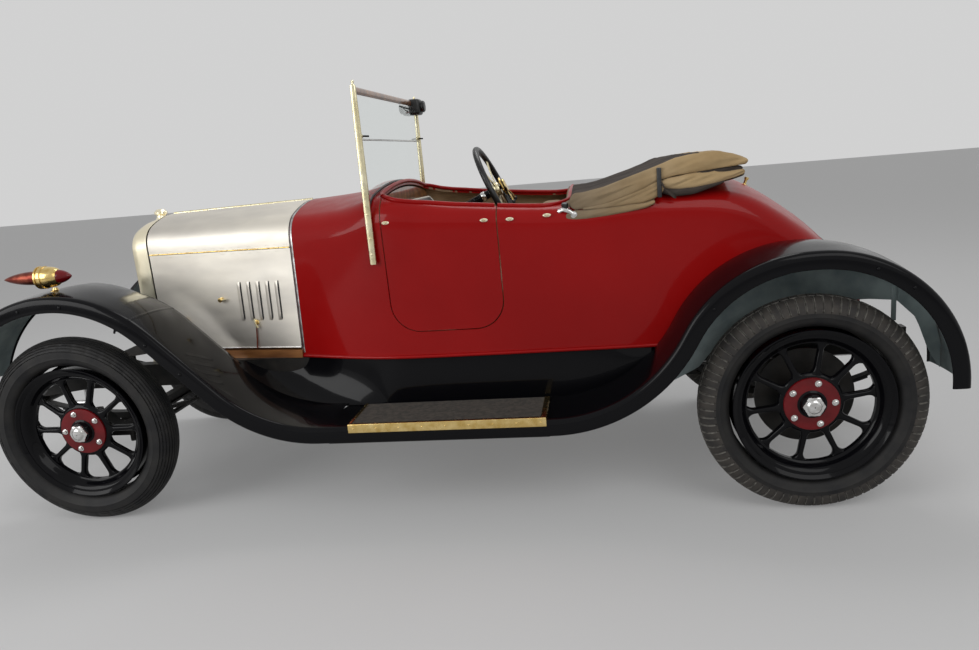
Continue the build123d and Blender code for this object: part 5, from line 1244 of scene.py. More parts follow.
# Tyres: ribs round the front ones, cross-grooved blocks on the rear ones. Limits are angles round the
# tyre's own section, from the middle of its tread
RIB_COUNT = 13
RIB_LIMIT = 1.30
RIB_PITCH = 2 * RIB_LIMIT / RIB_COUNT
BLOCK_COUNT = 80
BLOCK_LIMIT = 1.52
BLOCK_GROOVE = 0.30


def tyre_angles(ribbed):
    # Where points lie round the tyre's own section, closer together at the edges of grooves
    angles = [-2.5 + 0.12 * step for step in range(9)] + [2.5 - 0.12 * step for step in range(9)]
    if ribbed:
        for number in range(RIB_COUNT + 1):
            angles += [RIB_PITCH * number - RIB_LIMIT + shift for shift in (-0.040, -0.018, 0.018, 0.040)]
    else:
        for middle in (-BLOCK_GROOVE, 0.0, BLOCK_GROOVE):
            angles += [middle + shift for shift in (-0.045, -0.022, 0.022, 0.045)]
        for first in (-1.53, 0.43):
            angles += [first + 0.11 * step for step in range(11)]
    return sorted(angles)


def ribbed_tread(angle, step):
    # Grooves round the tyre, and short cuts into the outer ribs
    pitches = (angle + RIB_LIMIT) / RIB_PITCH
    away = abs(angle)
    if abs(pitches - round(pitches)) * RIB_PITCH < 0.02 and away < RIB_LIMIT + 0.02:
        return -0.0038
    return -0.0018 if 0.75 < away < RIB_LIMIT and step % 8 < 2 else 0.0


def block_tread(angle, step):
    # Three grooves round the tyre, and cross grooves that step by half a block at the outer two
    away = abs(angle)
    offset = 4 if away < BLOCK_GROOVE else 0
    if away < BLOCK_LIMIT and (step + offset) % 8 == 0:
        return -0.0060 * min(1.0, (BLOCK_LIMIT - away) * 6 + 0.3)
    return -0.0045 if min(abs(away - BLOCK_GROOVE), away) < 0.03 else 0.0


def tyre(name, wheel, body, tread, steps_round):
    rows = []
    angles = tyre_angles(tread is ribbed_tread)
    for step in range(steps_round):
        row = []
        for angle in angles:
            # A raised ring on the side wall, beyond the tread
            relief = 0.0022 if abs(abs(angle) - 1.78) < 0.06 else tread(angle, step)
            spread = TYRE_SECTION + relief
            row.append(wheel_point(wheel, spread * sin(angle), TYRE_CENTRE + spread * cos(angle),
                                   2 * pi * step / steps_round))
        rows.append(row)
    return skin(name, rows, body, tyre_rubber, tread_rubber, groove_dust, wrap_rows=True, wrap_columns=True,
                sharp=38)


def dust_tread(cover, centre):
    # The worn tread is paler than the side walls, and dust lies in its grooves
    for face in cover.data.polygons:
        spot = face.center
        around = sqrt((spot.x - centre[0]) ** 2 + (spot.z - centre[2]) ** 2) - TYRE_CENTRE
        along = abs(spot.y) - abs(centre[1])
        if abs(atan2(along, around)) < BLOCK_LIMIT + 0.03:
            face.material_index = 2 if sqrt(around ** 2 + along ** 2) < TYRE_SECTION - 0.0022 else 1


# Each axle: its place, the wheels' lean, and the angles of the first spoke and the first hub bolt
WHEEL_SETS = [
    ("front", FRONT_AXLE_X, CAMBER, radians(108), radians(73), ribbed_tread, 320),
    ("rear", REAR_AXLE_X, 0.0, radians(100), radians(105), block_tread, BLOCK_COUNT * 8),
]
for end, x, lean, first_spoke, first_bolt, tread, steps_round in WHEEL_SETS:
    for side_name, side in SIDES:
        label = end + "_" + side_name
        body = "wheel_" + label
        centre = (x, side * HALF_TRACK, WHEEL_Z)
        wheel = (centre, side, lean)
        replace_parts(wheel_lathe("rim_" + label, RIM_PROFILE, wheel, body, black_enamel, 96), body)
        spokes("spokes_" + label, wheel, body, first_spoke)
        hub(label, wheel, body, first_bolt)
        cover = tyre("tyre_skin_" + label, wheel, body, tread, steps_round)
        if tread is block_tread:
            dust_tread(cover, centre)
        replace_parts(cover, "tyre_" + label)


# Folded hood: folds of canvas behind the seat, carried right across the car. Each row of a fold gives
# a place behind the front axle, and the fold's upper and lower heights there at the car's near side
BIG_FOLD = [(1.992, 1.172, 1.108), (2.040, 1.174, 1.111), (2.090, 1.183, 1.116), (2.141, 1.197, 1.127),
            (2.207, 1.216, 1.147), (2.257, 1.229, 1.163), (2.307, 1.244, 1.190), (2.363, 1.266, 1.203),
            (2.434, 1.276, 1.209), (2.510, 1.279, 1.216), (2.576, 1.260, 1.221), (2.614, 1.245, 1.224)]
MIDDLE_FOLD = [(2.040, 1.116, 1.106), (2.102, 1.124, 1.105), (2.166, 1.142, 1.110), (2.207, 1.156, 1.113),
               (2.257, 1.172, 1.116), (2.302, 1.194, 1.132), (2.330, 1.197, 1.150)]
BAND_FOLD = [(1.977, 1.100, 1.078), (2.004, 1.109, 1.071), (2.051, 1.108, 1.073), (2.125, 1.108, 1.080),
             (2.205, 1.116, 1.090), (2.264, 1.117, 1.099), (2.294, 1.126, 1.112)]
REAR_FOLD = [(2.318, 1.192, 1.166), (2.340, 1.196, 1.160), (2.383, 1.200, 1.155), (2.441, 1.208, 1.157),
             (2.503, 1.212, 1.165), (2.541, 1.203, 1.174), (2.575, 1.207, 1.182), (2.604, 1.209, 1.192)]
INNER_FOLD = [(2.440, 1.214, 1.196), (2.514, 1.219, 1.198), (2.561, 1.223, 1.196), (2.598, 1.222, 1.204)]
LOW_FOLD = [(2.316, 1.172, 1.146), (2.363, 1.164, 1.130), (2.431, 1.166, 1.133), (2.479, 1.170, 1.147),
            (2.534, 1.180, 1.164)]
HOOD_HALF = 0.497
HOOD_FALL = 0.018
FOLD_STEPS = 44
EDGE_ROWS = 26

# The side of a fold, row by row: how far in and how high the upper sheet lies, and how far in the lower
FOLD_EDGE = []
for step in range(EDGE_ROWS):
    share = step / (EDGE_ROWS - 1)
    turn = pi * 0.94 * share
    reach = 0.014 if turn < pi / 2 else 0.0105
    FOLD_EDGE.append((reach - (reach + 0.0045) * sin(turn) ** 0.7, cos(turn), 0.014 - 0.0075 * share))


def fold_section(table):
    # Stations along a fold: its middle height and half its thickness, rounded off at both ends
    line = []
    first, last = table[0][0], table[-1][0]
    for step in range(FOLD_STEPS + 1):
        at = first + (last - first) * (0.5 - 0.5 * cos(pi * step / FOLD_STEPS))
        places = [min(last, max(first, at + shift)) for shift in (-0.012, 0.0, 0.012)]
        near, mid, far = [table_at(table, spot) for spot in places]
        top, low = [(near[k] + 2 * mid[k] + far[k]) / 4 for k in (1, 2)]
        half = (top - low) / 2
        end = min(1.0, min(at - first, last - at) / max(half * 0.8, 1e-4))
        line.append((at, (top + low) / 2, half * sqrt(max(0.003, 1 - (1 - end) ** 2))))
    return line


def fold_crease(at, across, z, seed):
    # Soft waves, raised ridges and fine wrinkles, all drawn out along the fold
    def wave(stretch, shift, over, slant, fine):
        return noise.noise(Vector((at * stretch + shift, across * over, (z - slant * at) * fine)))

    ridge = 0.42 - abs(wave(4.5, seed * 2, 7, 0.36, 58)) * 1.9
    return 0.85 * wave(3.2, seed, 5, 0.42, 30) + 0.55 * ridge + 0.3 * wave(11, seed, 15, 0.45, 110)


def across_hood(half):
    # From the far side to the near one: how far across the upper sheet is, its turn, and the lower sheet
    inner = half - 0.014
    edges = [(half - inset, turned, half - under) for inset, turned, under in FOLD_EDGE]
    middles = [-inner + 2 * inner * step / FOLD_STEPS for step in range(1, FOLD_STEPS)]
    return [(-upper, turned, -lower) for upper, turned, lower in edges[::-1]] + [
        (across, 1.0, across) for across in middles] + edges


def hood_fold(name, table, half, crease, lift, seed, *materials):
    line = fold_section(table)
    rows = []
    for upper, turned, lower in across_hood(half):
        row = []
        for sign, across, factor in ((1, upper, turned), (-1, lower, 1.0)):
            share = across / half
            fall = HOOD_FALL * (1 - share) / 2
            for at, middle, thick in line[::sign]:
                z = middle + sign * thick * factor
                push = crease * fold_crease(at, across, z, seed)
                z += push * 0.7 * max(0.0, factor) - fall
                out = push * 1.3 * (1 - abs(factor)) if abs(share) > 0.9 else 0.0
                deck = height_at(body_section(at), across) if abs(across) < 0.488 else 0.0
                z = max(z, deck + lift + 0.0012 * sign)
                row.append(Vector((x_at(at), across + (out if share > 0 else -out), z)))
        rows.append(row)
    fold = skin(name, rows, "car", *materials, sharp=70)
    if len(materials) > 1:
        # Painted shade: faces that look up, in front of the last stretch, take the darker cloth
        for face in fold.data.polygons:
            shown = face.normal.z > 0.35 and abs(face.center.y) < half - 0.006
            face.material_index = 1 if shown and face.center.x > x_at(2.455) else 0
    return fold


# Each fold: its rows, half width, depth of creases, lift off the deck, a number that its creases start
# from, its cloth, and the flat size of that cloth
HOOD_FOLDS = [
    ("hood_big_fold", BIG_FOLD, HOOD_HALF, 0.008, 0.007, 3.1, (canvas, dark_and_shade_canvas), (1.30, 1.02)),
    ("hood_middle_fold", MIDDLE_FOLD, HOOD_HALF - 0.002, 0.007, 0.005, 7.7, (canvas,), (0.66, 1.01)),
    ("hood_rear_fold", REAR_FOLD, HOOD_HALF - 0.001, 0.008, 0.004, 12.3, (canvas,), (0.61, 1.01)),
    # The inner and low folds take the darker cloth as painted shade between and under the other folds
    ("hood_inner_fold", INNER_FOLD, HOOD_HALF - 0.010, 0.004, 0.005, 6.4, (dark_and_shade_canvas,), (0.34, 0.99)),
    ("hood_low_fold", LOW_FOLD, HOOD_HALF - 0.008, 0.004, 0.003, 5.2, (dark_and_shade_canvas,), (0.46, 0.99)),
    ("hood_side_band", BAND_FOLD, HOOD_HALF + 0.006, 0.003, 0.002, 9.4, (canvas,), (0.65, 1.02)),
]
folds = []
for name, table, half, crease, lift, seed, materials, flat in HOOD_FOLDS:
    fold = hood_fold(name, table, half, crease, lift, seed, *materials)
    folds.append(fold)
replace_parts(folds[0], "folded_hood")


def hood_strap(side_name, side):
    # Round the folds, with a leather tongue that hangs from it
    fall = 0.0 if side > 0 else HOOD_FALL
    rounded_block("hood_strap_" + side_name, (x_at(2.319), side * 0.494, 1.132 - fall),
                  (x_at(2.303), side * 0.509, 1.236 - fall), 0.004, "car", strap_leather)
    tongue = []
    for back, z, wide in ((2.318, 1.188, 0.010), (2.325, 1.168, 0.014), (2.333, 1.154, 0.017),
                          (2.345, 1.143, 0.019), (2.357, 1.137, 0.016), (2.366, 1.132, 0.004)):
        middle = (x_at(back), side * (0.508 if back < 2.35 else 0.502), z - fall)
        tongue.append(beside(middle, side, [(wide * 0.6, 0, wide * 0.8), (0, 0.004, 0),
                                            (-wide * 0.6, 0, -wide * 0.8), (0, -0.003, 0)]))
    bar("hood_strap_tongue_" + side_name, tongue, "car", dark_and_shade_canvas)


def hood_pivot(side_name, side):
    # Where the hood irons meet: a bright pin, a short arm and a knob
    pin = [(-0.020, 0.0), (-0.020, 0.013), (0.000, 0.014), (0.003, 0.012), (0.004, 0.007), (0.009, 0.006),
           (0.010, 0.0)]
    spot = (x_at(2.006), side * 0.503, 1.094)
    lathe("hood_pivot_" + side_name, pin, spot, (0, side, 0), "car", bright_steel)
    arm = [(x_at(back), side * out, z) for back, out, z in (
        (1.952, 0.490, 1.108), (1.970, 0.498, 1.114), (1.992, 0.500, 1.106), (2.006, 0.500, 1.094))]
    tube("hood_pivot_arm_" + side_name, arm, 0.009, "car", bright_steel)
    lathe("hood_pivot_knob_" + side_name,
          [(-0.004, 0.0), (-0.004, 0.012), (0.010, 0.013), (0.014, 0.009), (0.015, 0.0)],
          (x_at(1.975), side * 0.488, 1.124), (0, side * 0.3, 1), "car", black_plastic, 24)


for side_name, side in SIDES:
    hood_strap(side_name, side)
    hood_pivot(side_name, side)

# Windscreen: tapered posts outside the body, top rail, split panes, and the wiper's motor
SCREEN_BACK = 1.240
SCREEN_X = x_at(SCREEN_BACK)
SCREEN_SECTION = body_section(SCREEN_BACK)
POST_HALF = 0.492
SPLIT_Z = 1.425


def screen_post(side_name, side):
    rows = []
    for z, deep, wide in ((0.962, 0.0115, 0.0065), (0.97, 0.012, 0.007), (1.10, 0.013, 0.007),
                          (1.30, 0.0135, 0.007), (1.42, 0.0125, 0.007), (1.55, 0.011, 0.007),
                          (1.612, 0.0105, 0.007), (1.618, 0.009, 0.006)):
        middle = Vector((SCREEN_X, side * (POST_HALF + 0.002), z))
        turns = [2 * pi * step / 16 for step in range(16)]
        rows.append([middle + Vector((deep * bent(cos(turn), 0.55), wide * bent(sin(turn), 0.55), 0))
                     for turn in turns])
    return bar("screen_post_" + side_name, rows, "car", old_brass, sharp=50)


def screen_fittings(side_name, side):
    # On each post: a finial, three screws, and the pivot and clamp between the panes
    outward = (0, side, 0)
    lathe("screen_post_finial_" + side_name,
          [(0.0, 0.0), (0.0, 0.008), (0.004, 0.0085), (0.007, 0.004), (0.012, 0.004), (0.014, 0.006),
           (0.018, 0.006), (0.022, 0.001), (0.022, 0.0)],
          (SCREEN_X, side * POST_HALF, 1.614), (0, 0, 1), "car", old_brass, 20)
    for number, z in enumerate((1.000, 1.060, 1.150), 1):
        dome(f"screen_post_screw_{side_name}_{number}", (SCREEN_X, side * (POST_HALF + 0.009), z), outward,
             0.005, 0.002, "car", old_brass, 12)
    pivot = [(-0.03, 0.0), (-0.03, 0.006), (-0.004, 0.006), (-0.004, 0.012), (0.006, 0.012), (0.009, 0.008),
             (0.010, 0.0)]
    lathe("screen_pivot_" + side_name, pivot, (SCREEN_X, side * (POST_HALF - 0.010), SPLIT_Z + 0.012),
          outward, "car", old_brass, 24)
    split = (SCREEN_X, side * POST_HALF, SPLIT_Z)
    clamp = beside(split, side, [(-0.008, -0.02, 0.012), (-0.030, -0.03, 0.010)])
    tube("screen_clamp_" + side_name, clamp, 0.0035, "car", black_enamel)


def glass_pane(name, low, high):
    # A pane whose lower edge stands at the heights given by a function of the place across
    rows = []
    half = POST_HALF - 0.010
    for step in range(41):
        y = -half + 2 * half * step / 40
        foot = low(y)
        heights = [foot + (high - foot) * share for share in (0.0, 0.25, 0.5, 0.75, 1.0)]
        rows.append([Vector((SCREEN_X + 0.0025, y, z)) for z in heights]
                    + [Vector((SCREEN_X - 0.0025, y, z)) for z in heights[::-1]])
    return bar(name, rows, "car", glass, sharp=50)


def over_scuttle(y):
    return height_at(SCREEN_SECTION, y) + 0.010


def screen_rails():
    # The wooden top rail, and the channel between the panes
    half = POST_HALF - 0.006
    wood = [ring(Vector((SCREEN_X, y, 1.600)), Vector((0.008, 0, 0)), Vector((0, 0, 0.0135)))
            for y in (-half, -0.25, 0.0, 0.25, half)]
    bar("screen_top_rail", wood, "car", varnished_wood, sharp=60)
    tube("screen_split_channel", [(SCREEN_X, -half, SPLIT_Z), (SCREEN_X, half, SPLIT_Z)], 0.0035, "car",
         bright_steel)


def foot_seal():
    places = [(POST_HALF - 0.02) * (step / 20 - 1) for step in range(41)]
    seal = [(SCREEN_X, y, height_at(SCREEN_SECTION, y) + 0.007) for y in places]
    tube("screen_foot_seal", seal, 0.006, "car", black_plastic, sides=10)


def wiper():
    # The motor's case on the rail's right end, its cap and spindle, the arm and the blade
    motor = rounded_block("wiper_motor_case", (SCREEN_X - 0.045, -0.470, 1.545),
                          (SCREEN_X + 0.012, -0.385, 1.618), 0.012, "car", black_plastic, segments=4)
    lathe("wiper_motor_cap", [(-0.002, 0.0), (-0.002, 0.026), (0.012, 0.027), (0.018, 0.022), (0.020, 0.0)],
          (SCREEN_X - 0.045, -0.428, 1.582), (-1, 0, 0), "car", black_plastic, 32)
    lathe("wiper_motor_spindle",
          [(-0.03, 0.0), (-0.03, 0.006), (0.012, 0.006), (0.016, 0.009), (0.022, 0.008), (0.024, 0.0)],
          (SCREEN_X + 0.012, -0.428, 1.565), (1, 0, 0), "car", bright_steel, 20)
    arm = [(SCREEN_X + 0.030, -0.428, 1.565), (SCREEN_X + 0.028, -0.380, 1.572),
           (SCREEN_X + 0.016, -0.300, 1.576)]
    tube("wiper_arm", arm, 0.0022, "car", black_plastic)
    blade = [(SCREEN_X + 0.010, -0.390, 1.574), (SCREEN_X + 0.010, -0.210, 1.578)]
    tube("wiper_blade", blade, 0.0035, "car", black_plastic)
    return motor


posts = []
for side_name, side in SIDES:
    posts.append(screen_post(side_name, side))
    screen_fittings(side_name, side)
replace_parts(posts[0], "windscreen_frame")
screen_rails()
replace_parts(glass_pane("screen_upper_pane", lambda y: SPLIT_Z + 0.003, 1.583), "windscreen_glass")
glass_pane("screen_lower_pane", over_scuttle, SPLIT_Z - 0.003)
foot_seal()
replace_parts(wiper(), "wiper_motor")


def curtain_stud(number, back, z, side_name, side):
    # An oval plate with a turned stud, for the side curtains
    spot = Vector((x_at(back), side * side_at(body_section(back), z), z))
    body = "door_left" if side > 0 and DOOR_FRONT < back < DOOR_REAR else "car"
    long_half, short_half = Vector((0.0145, 0, 0)), Vector((0, 0, 0.0068))
    plate = [ring(spot + Vector((0, side * out, 0)), long_half * size, short_half * size, 32)
             for out, size in ((-0.002, 1.0), (0.0015, 1.0), (0.0025, 0.88), (0.0025, 0.4), (0.0025, 0.0))]
    skin(f"curtain_plate_{side_name}_{number}", plate, body, nickel, wrap_columns=True, sharp=30)
    lathe(f"curtain_stud_{side_name}_{number}",
          [(0.002, 0.0), (0.002, 0.0042), (0.006, 0.0042), (0.0075, 0.0052), (0.009, 0.004), (0.0095, 0.0)],
          spot, (0, side, 0), body, old_brass, 20)


STUDS = [(1.304, 1.115), (1.678, 1.099), (1.773, 1.096), (1.909, 1.100)]
for side_name, side in SIDES:
    for number, (back, z) in enumerate(STUDS, 1):
        curtain_stud(number, back, z, side_name, side)

# The fitting on the tail's ridge
TAIL_FITTING_BACK = 2.690
lathe("tail_fitting",
      [(-0.004, 0.0), (-0.004, 0.014), (0.002, 0.013), (0.004, 0.006), (0.020, 0.006), (0.022, 0.009),
       (0.030, 0.009), (0.032, 0.0)],
      (x_at(TAIL_FITTING_BACK), 0, body_section(TAIL_FITTING_BACK).crown_z), (-0.4, 0, 1), "car", brass, 24)

# Side lamps: a turned drum on a post, with a long cone in front of it and a short one behind
DRUM_PROFILE = [
    (-0.041, 0.0), (-0.041, 0.027), (-0.036, 0.031), (-0.026, 0.0360), (-0.010, 0.0400), (0.006, 0.0415),
    (0.014, 0.0410), (0.015, 0.0440), (0.022, 0.0445), (0.028, 0.0435), (0.029, 0.0405), (0.033, 0.0410),
    (0.034, 0.0445), (0.040, 0.0445), (0.043, 0.0420), (0.043, 0.0),
]
LAMP_FOOT = [(-0.004, 0.0), (-0.004, 0.020), (0.002, 0.019), (0.005, 0.012), (0.014, 0.009), (0.014, 0.0)]


def lamp_cone(way, start, length, collar, radius, steps, power, roundness):
    # From a collar in the drum, a cone that swells and then closes on its tip
    profile = [(way * (start - 0.002), 0.0), (way * (start - 0.002), collar)]
    for step in range(steps):
        share = step / steps
        profile.append((way * (start + length * share), radius * (1 - share ** power) ** roundness))
    return profile + [(way * (start + length), 0.0)]


def side_lamp(side_name, side):
    lamp = Vector((FRONT_AXLE_X + 0.030, side * 0.600, 1.012))
    ahead = (1, 0, 0)
    drum = lathe("lamp_drum_" + side_name, DRUM_PROFILE, lamp, ahead, "car", brass, 56)
    # The front cone's dark copper colour is a painted reflection in the lamp's glass
    lathe("lamp_nose_" + side_name, lamp_cone(1, 0.043, 0.157, 0.0275, 0.0270, 14, 2.4, 0.85), lamp, ahead,
          "car", dark_copper_and_reflection, 48)
    lathe("lamp_tail_" + side_name, lamp_cone(-1, 0.041, 0.054, 0.0265, 0.0265, 12, 1.6, 0.8), lamp, ahead,
          "car", hub_red, 48)
    foot_x = lamp.x - 0.012
    post = [(foot_x, lamp.y, lamp.z - 0.038), (foot_x, lamp.y, 0.950)]
    tube("lamp_post_" + side_name, post, 0.0065, "car", bright_steel)
    lathe("lamp_foot_" + side_name, LAMP_FOOT, (foot_x, lamp.y, 0.956), (0, 0, 1), "car", brass)
    return drum


drums = [side_lamp(side_name, side) for side_name, side in SIDES]
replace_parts(drums[0], "side_lamps")

# Steering wheel: thick dark rim, flat brass spokes, boss, and the quadrant with its two levers
WHEEL_HUB = Vector((x_at(1.645), -0.225, 1.175))
SLOPE = radians(24)
UP_COLUMN = Vector((-cos(SLOPE), 0, sin(SLOPE)))
RIM_RADIUS = 0.200
wheel_across = Vector((0, 1, 0))
wheel_over = UP_COLUMN.cross(wheel_across)


def on_wheel(radius, angle, along=0.0):
    return WHEEL_HUB + UP_COLUMN * along + (wheel_across * cos(angle) + wheel_over * sin(angle)) * radius


def steering_wheel():
    rim_line = [on_wheel(RIM_RADIUS, 2 * pi * step / 96) for step in range(96)]
    rim = tube("steering_rim", rim_line, 0.0135, "steering_wheel", black_plastic, sides=18, closed=True)
    for number in range(4):
        angle = pi / 4 + pi / 2 * number
        aside = on_wheel(1, angle + pi / 2) - WHEEL_HUB
        rows = [ring(on_wheel(radius, angle, dip), aside * wide, UP_COLUMN * 0.0035)
                for radius, wide, dip in ((0.022, 0.016, 0.0), (0.05, 0.013, -0.002), (0.10, 0.011, -0.004),
                                          (0.15, 0.0115, -0.003), (0.192, 0.015, 0.0))]
        bar(f"steering_spoke_{number + 1}", rows, "steering_wheel", old_brass)
    boss = [(-0.018, 0.0), (-0.018, 0.026), (-0.010, 0.031), (0.006, 0.032), (0.014, 0.028), (0.016, 0.0)]
    lathe("steering_boss", boss, WHEEL_HUB, UP_COLUMN, "steering_wheel", old_brass, 40)
    return rim


def hand_controls():
    # Two discs above the boss, and the levers that move round them
    for number, (along, reach) in enumerate([(0.030, 0.042), (0.040, 0.030)], 1):
        disc = [(along - 0.004, 0.0), (along - 0.004, reach), (along, reach + 0.003),
                (along + 0.004, reach), (along + 0.004, 0.0)]
        lathe(f"quadrant_{number}", disc, WHEEL_HUB, UP_COLUMN, "car", brass, 48)
    for number, angle in enumerate((radians(60), radians(130)), 1):
        lever = [on_wheel(radius, angle, along)
                 for radius, along in ((0.030, 0.036), (0.060, 0.044), (0.098, 0.046))]
        tube(f"hand_control_{number}", lever, 0.0032, "car", brass, sides=10)
        lathe(f"hand_control_knob_{number}",
              [(-0.010, 0.0), (-0.008, 0.006), (0.0, 0.0085), (0.008, 0.006), (0.010, 0.0)],
              lever[-1], (0, 0, 1), "car", black_plastic, 20)


def steering_column():
    column = [WHEEL_HUB - UP_COLUMN * 0.025, WHEEL_HUB - UP_COLUMN * 0.42]
    tube("column_tube", column, 0.0185, "car", black_enamel, sides=28)
    collar = [(-0.010, 0.0), (-0.010, 0.021), (-0.006, 0.0225), (0.006, 0.0225), (0.010, 0.021),
              (0.010, 0.0)]
    for number, along in enumerate((-0.030, -0.070), 1):
        spot = WHEEL_HUB + UP_COLUMN * along
        lathe(f"column_collar_{number}", collar, spot, UP_COLUMN, "car", bright_steel, 32)


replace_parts(steering_wheel(), "steering_wheel")
hand_controls()
steering_column()

# Dials on the wooden dashboard, facing the rear
DASH_X = x_at(1.252) - 0.016
DIAL_Z = 1.090
TO_REAR = (-1, 0, 0)


def dial(number, y):
    # A brass ring, a plain face, a hand and twelve marks
    middle = Vector((DASH_X, y, DIAL_Z))
    rim = [(-0.002, 0.0), (-0.002, 0.050), (0.004, 0.052), (0.010, 0.049), (0.011, 0.044)]
    lathe(f"dial_{number}", rim, middle, TO_REAR, "car", brass, 48)
    lathe(f"dial_face_{number}", [(0.004, 0.0), (0.0045, 0.044), (0.002, 0.045)], middle, TO_REAR, "car",
          dial_white, 40)
    turn = 0.6 + number - 1
    axis = middle - Vector((0.0065, 0, 0))
    tube(f"dial_hand_{number}", [axis, axis + Vector((0, cos(turn), sin(turn))) * 0.032], 0.0012, "car",
         black_plastic, sides=6)
    marks = []
    size = Vector((0.0005, 0.0014, 0.0014))
    for spot in ring(middle - Vector((0.005, 0, 0)), Vector((0, 0.037, 0)), Vector((0, 0, 0.037))):
        marks.append(rounded_block("mark", spot - size, spot + size, 0.0003, "car", black_plastic, 1))
    join_pieces(f"dial_marks_{number}", marks)


for number, y in enumerate((-0.060, 0.060, 0.190), 1):
    dial(number, y)

# Sloping panel in a pale frame, in front of the driver
PANEL_CORNERS = [
    Vector((x_at(1.290), 0.050, 1.166)), Vector((x_at(1.300), -0.335, 1.160)),
    Vector((x_at(1.352), -0.335, 1.094)), Vector((x_at(1.342), 0.050, 1.100)),
]
near, near_right, far_right, far = PANEL_CORNERS
half_thick = (near_right - near).cross(far - near).normalized() * 0.003
panel_face = [[top + half_thick, foot + half_thick, foot - half_thick, top - half_thick]
              for top, foot in ((near, far), (near_right, far_right))]
bar("sloping_panel", panel_face, "car", black_plastic, sharp=30)
panel_edge = []
for corner, after in zip(PANEL_CORNERS, PANEL_CORNERS[1:] + PANEL_CORNERS[:1]):
    panel_edge += [corner.lerp(after, share) for share in (0.03, 0.5, 0.97)]
tube("sloping_panel_frame", panel_edge, 0.0055, "car", dial_white, sides=10, closed=True)

# Padded seat: each part starts from its CAD form and is blown up as cloth, pleated with seams
CUSHION_EDGE = 0.030
CUSHION_SWELL = 0.022
PLEATS = 10
PLEAT_DEPTH = 0.012
PLEAT_REACH = 0.16


def cad_size(name):
    corners = [vertex.co for vertex in nodes[name].data.vertices]
    return [[limit(corner[k] for corner in corners) for k in range(3)] for limit in (min, max)]


def blow_up(obj):
    # Cloth under pressure, held to a largest move
    start = [vertex.co.copy() for vertex in obj.data.vertices]
    settings = obj.modifiers.new("cloth", "CLOTH").settings
    settings.use_pressure = True
    settings.uniform_pressure_force = 4
    settings.effector_weights.gravity = 0
    settings.quality = 4
    settings.mass = 0.3
    for number in range(1, 21):
        scene.frame_set(number)
    freeze(obj)
    for vertex, before in zip(obj.data.vertices, start):
        move = vertex.co - before
        if move.length > CUSHION_SWELL:
            vertex.co = before + move.normalized() * CUSHION_SWELL
    scene.frame_set(1)


def press_pleats(obj, low_y, high_y, face_axis):
    # Near the seam between two pleats, points move down or to the rear, most at the seam itself
    pitch = (high_y - low_y) / PLEATS
    for vertex in obj.data.vertices:
        pleat = (vertex.co.y - low_y) / pitch
        near = abs(pleat - round(pleat))
        if 0.5 < pleat < PLEATS - 0.5 and near < PLEAT_REACH:
            vertex.co[face_axis] -= PLEAT_DEPTH * (1 - near / PLEAT_REACH) ** 2


def cushion(name, node, low_gaps, face_axis):
    low, high = cad_size(node)
    inner_low = [a + gap for a, gap in zip(low, low_gaps)]
    inner_high = [b - 0.012 for b in high]
    mesh = block_mesh(name, inner_low, inner_high, CUSHION_EDGE, 4)
    obj = place(bpy.data.objects.new(name, mesh), "car", tan_leather)
    remesh = obj.modifiers.new("remesh", "REMESH")
    remesh.mode = "VOXEL"
    remesh.voxel_size = 0.0075
    freeze(obj)
    blow_up(obj)
    press_pleats(obj, low[1], high[1], face_axis)
    smooth = obj.modifiers.new("smooth", "SUBSURF")
    smooth.levels = 1
    smooth.render_levels = 1
    freeze(obj)
    obj.data.shade_smooth()
    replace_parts(obj, node)


cushion("seat_cushion_padded", "seat_cushion", (0.012, 0.012, 0.006), 2)
cushion("seat_back_padded", "seat_back", (0.006, 0.012, 0.006), 0)

# Floor
floor = bpy.data.objects.new("floor", bpy.data.meshes.new("floor"))
floor_mesh = bmesh.new()
bmesh.ops.create_grid(floor_mesh, x_segments=1, y_segments=1, size=30)
floor_mesh.to_mesh(floor.data)
floor_mesh.free()
scene.collection.objects.link(floor)


def shown_rays(tree):
    # One where a surface or the backdrop is seen, mirrored or looked at through glass, and none elsewhere
    rays = tree.nodes.new("ShaderNodeLightPath")
    shown = rays.outputs["Is Camera Ray"]
    for ray in ("Is Glossy Ray", "Is Transmission Ray"):
        either = tree.nodes.new("ShaderNodeMath")
        either.operation = "MAXIMUM"
        tree.links.new(shown, either.inputs[0])
        tree.links.new(rays.outputs[ray], either.inputs[1])
        shown = either.outputs[0]
    return shown


def pale_where_shown(tree, least, most, strength_socket):
    strength = tree.nodes.new("ShaderNodeMapRange")
    set_inputs(strength, To_Min=least, To_Max=most)
    tree.links.new(shown_rays(tree), strength.inputs["Value"])
    tree.links.new(strength.outputs["Result"], strength_socket)


WHITE = (1.0, 1.0, 1.0, 1.0)
floor_finish = new_material("floor", (0.50, 0.50, 0.50), 0.9, specular=0.1)
set_inputs(shader_of(floor_finish), Emission_Color=WHITE)
pale_where_shown(floor_finish.node_tree, 0.0, 0.14, shader_of(floor_finish).inputs["Emission Strength"])
noise_bump(floor_finish, 60, 0.05, 0.002)
floor.data.materials.append(floor_finish)

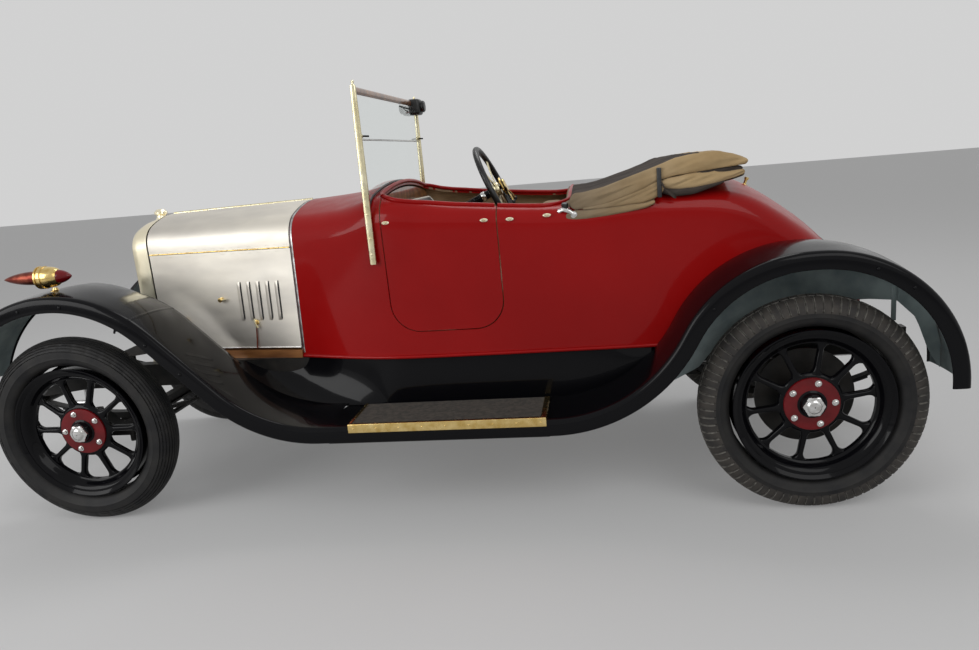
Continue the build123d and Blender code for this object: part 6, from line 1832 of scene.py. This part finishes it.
# Light
world = bpy.data.worlds.new("studio")
scene.world = world
world.use_nodes = True
backdrop = world.node_tree.nodes["Background"]
set_inputs(backdrop, Color=WHITE)
pale_where_shown(world.node_tree, 0.34, 0.64, backdrop.inputs["Strength"])

LIGHTS = [
    ("key", (4.6, 4.4, 2.6), 3.6, 150),
    ("fill", (-3.4, 4.6, 4.4), 4.0, 95),
    ("back", (-0.6, -2.4, 6.0), 3.0, 90),
]
LIT_PLACE = Vector((0, 0, 0.6))
for name, spot, size, power in LIGHTS:
    light = bpy.data.lights.new(name, "AREA")
    light.size = size
    light.energy = power
    lamp = bpy.data.objects.new(name, light)
    lamp.location = spot
    lamp.rotation_mode = "QUATERNION"
    lamp.rotation_quaternion = (LIT_PLACE - Vector(spot)).to_track_quat("-Z", "Y")
    scene.collection.objects.link(lamp)

# Camera, where the photograph was taken from. Its focal length is in the photograph's pixels
CAMERA_PLACE = (FRONT_AXLE_X - 2.092, 3.313, 1.328)
CAMERA_YAW = 0.151
CAMERA_PITCH = 0.216
CAMERA_ROLL = -0.087
FOCAL_PIXELS = 770.1
PICTURE_WIDTH = 979
SENSOR_WIDTH = 36
camera_data = bpy.data.cameras.new("camera")
camera_data.sensor_width = SENSOR_WIDTH
camera_data.lens = FOCAL_PIXELS * SENSOR_WIDTH / PICTURE_WIDTH
camera = bpy.data.objects.new("camera", camera_data)
scene.collection.objects.link(camera)
scene.camera = camera
forward = Vector((
    sin(CAMERA_YAW) * cos(CAMERA_PITCH), -cos(CAMERA_YAW) * cos(CAMERA_PITCH), -sin(CAMERA_PITCH)
))
level_right = forward.cross(Vector((0, 0, 1))).normalized()
level_up = level_right.cross(forward)
right = cos(CAMERA_ROLL) * level_right + sin(CAMERA_ROLL) * level_up
up = -sin(CAMERA_ROLL) * level_right + cos(CAMERA_ROLL) * level_up
turned = Matrix((right, up, -forward)).transposed().to_4x4()
camera.matrix_world = Matrix.Translation(CAMERA_PLACE) @ turned

scene.view_settings.view_transform = "Standard"
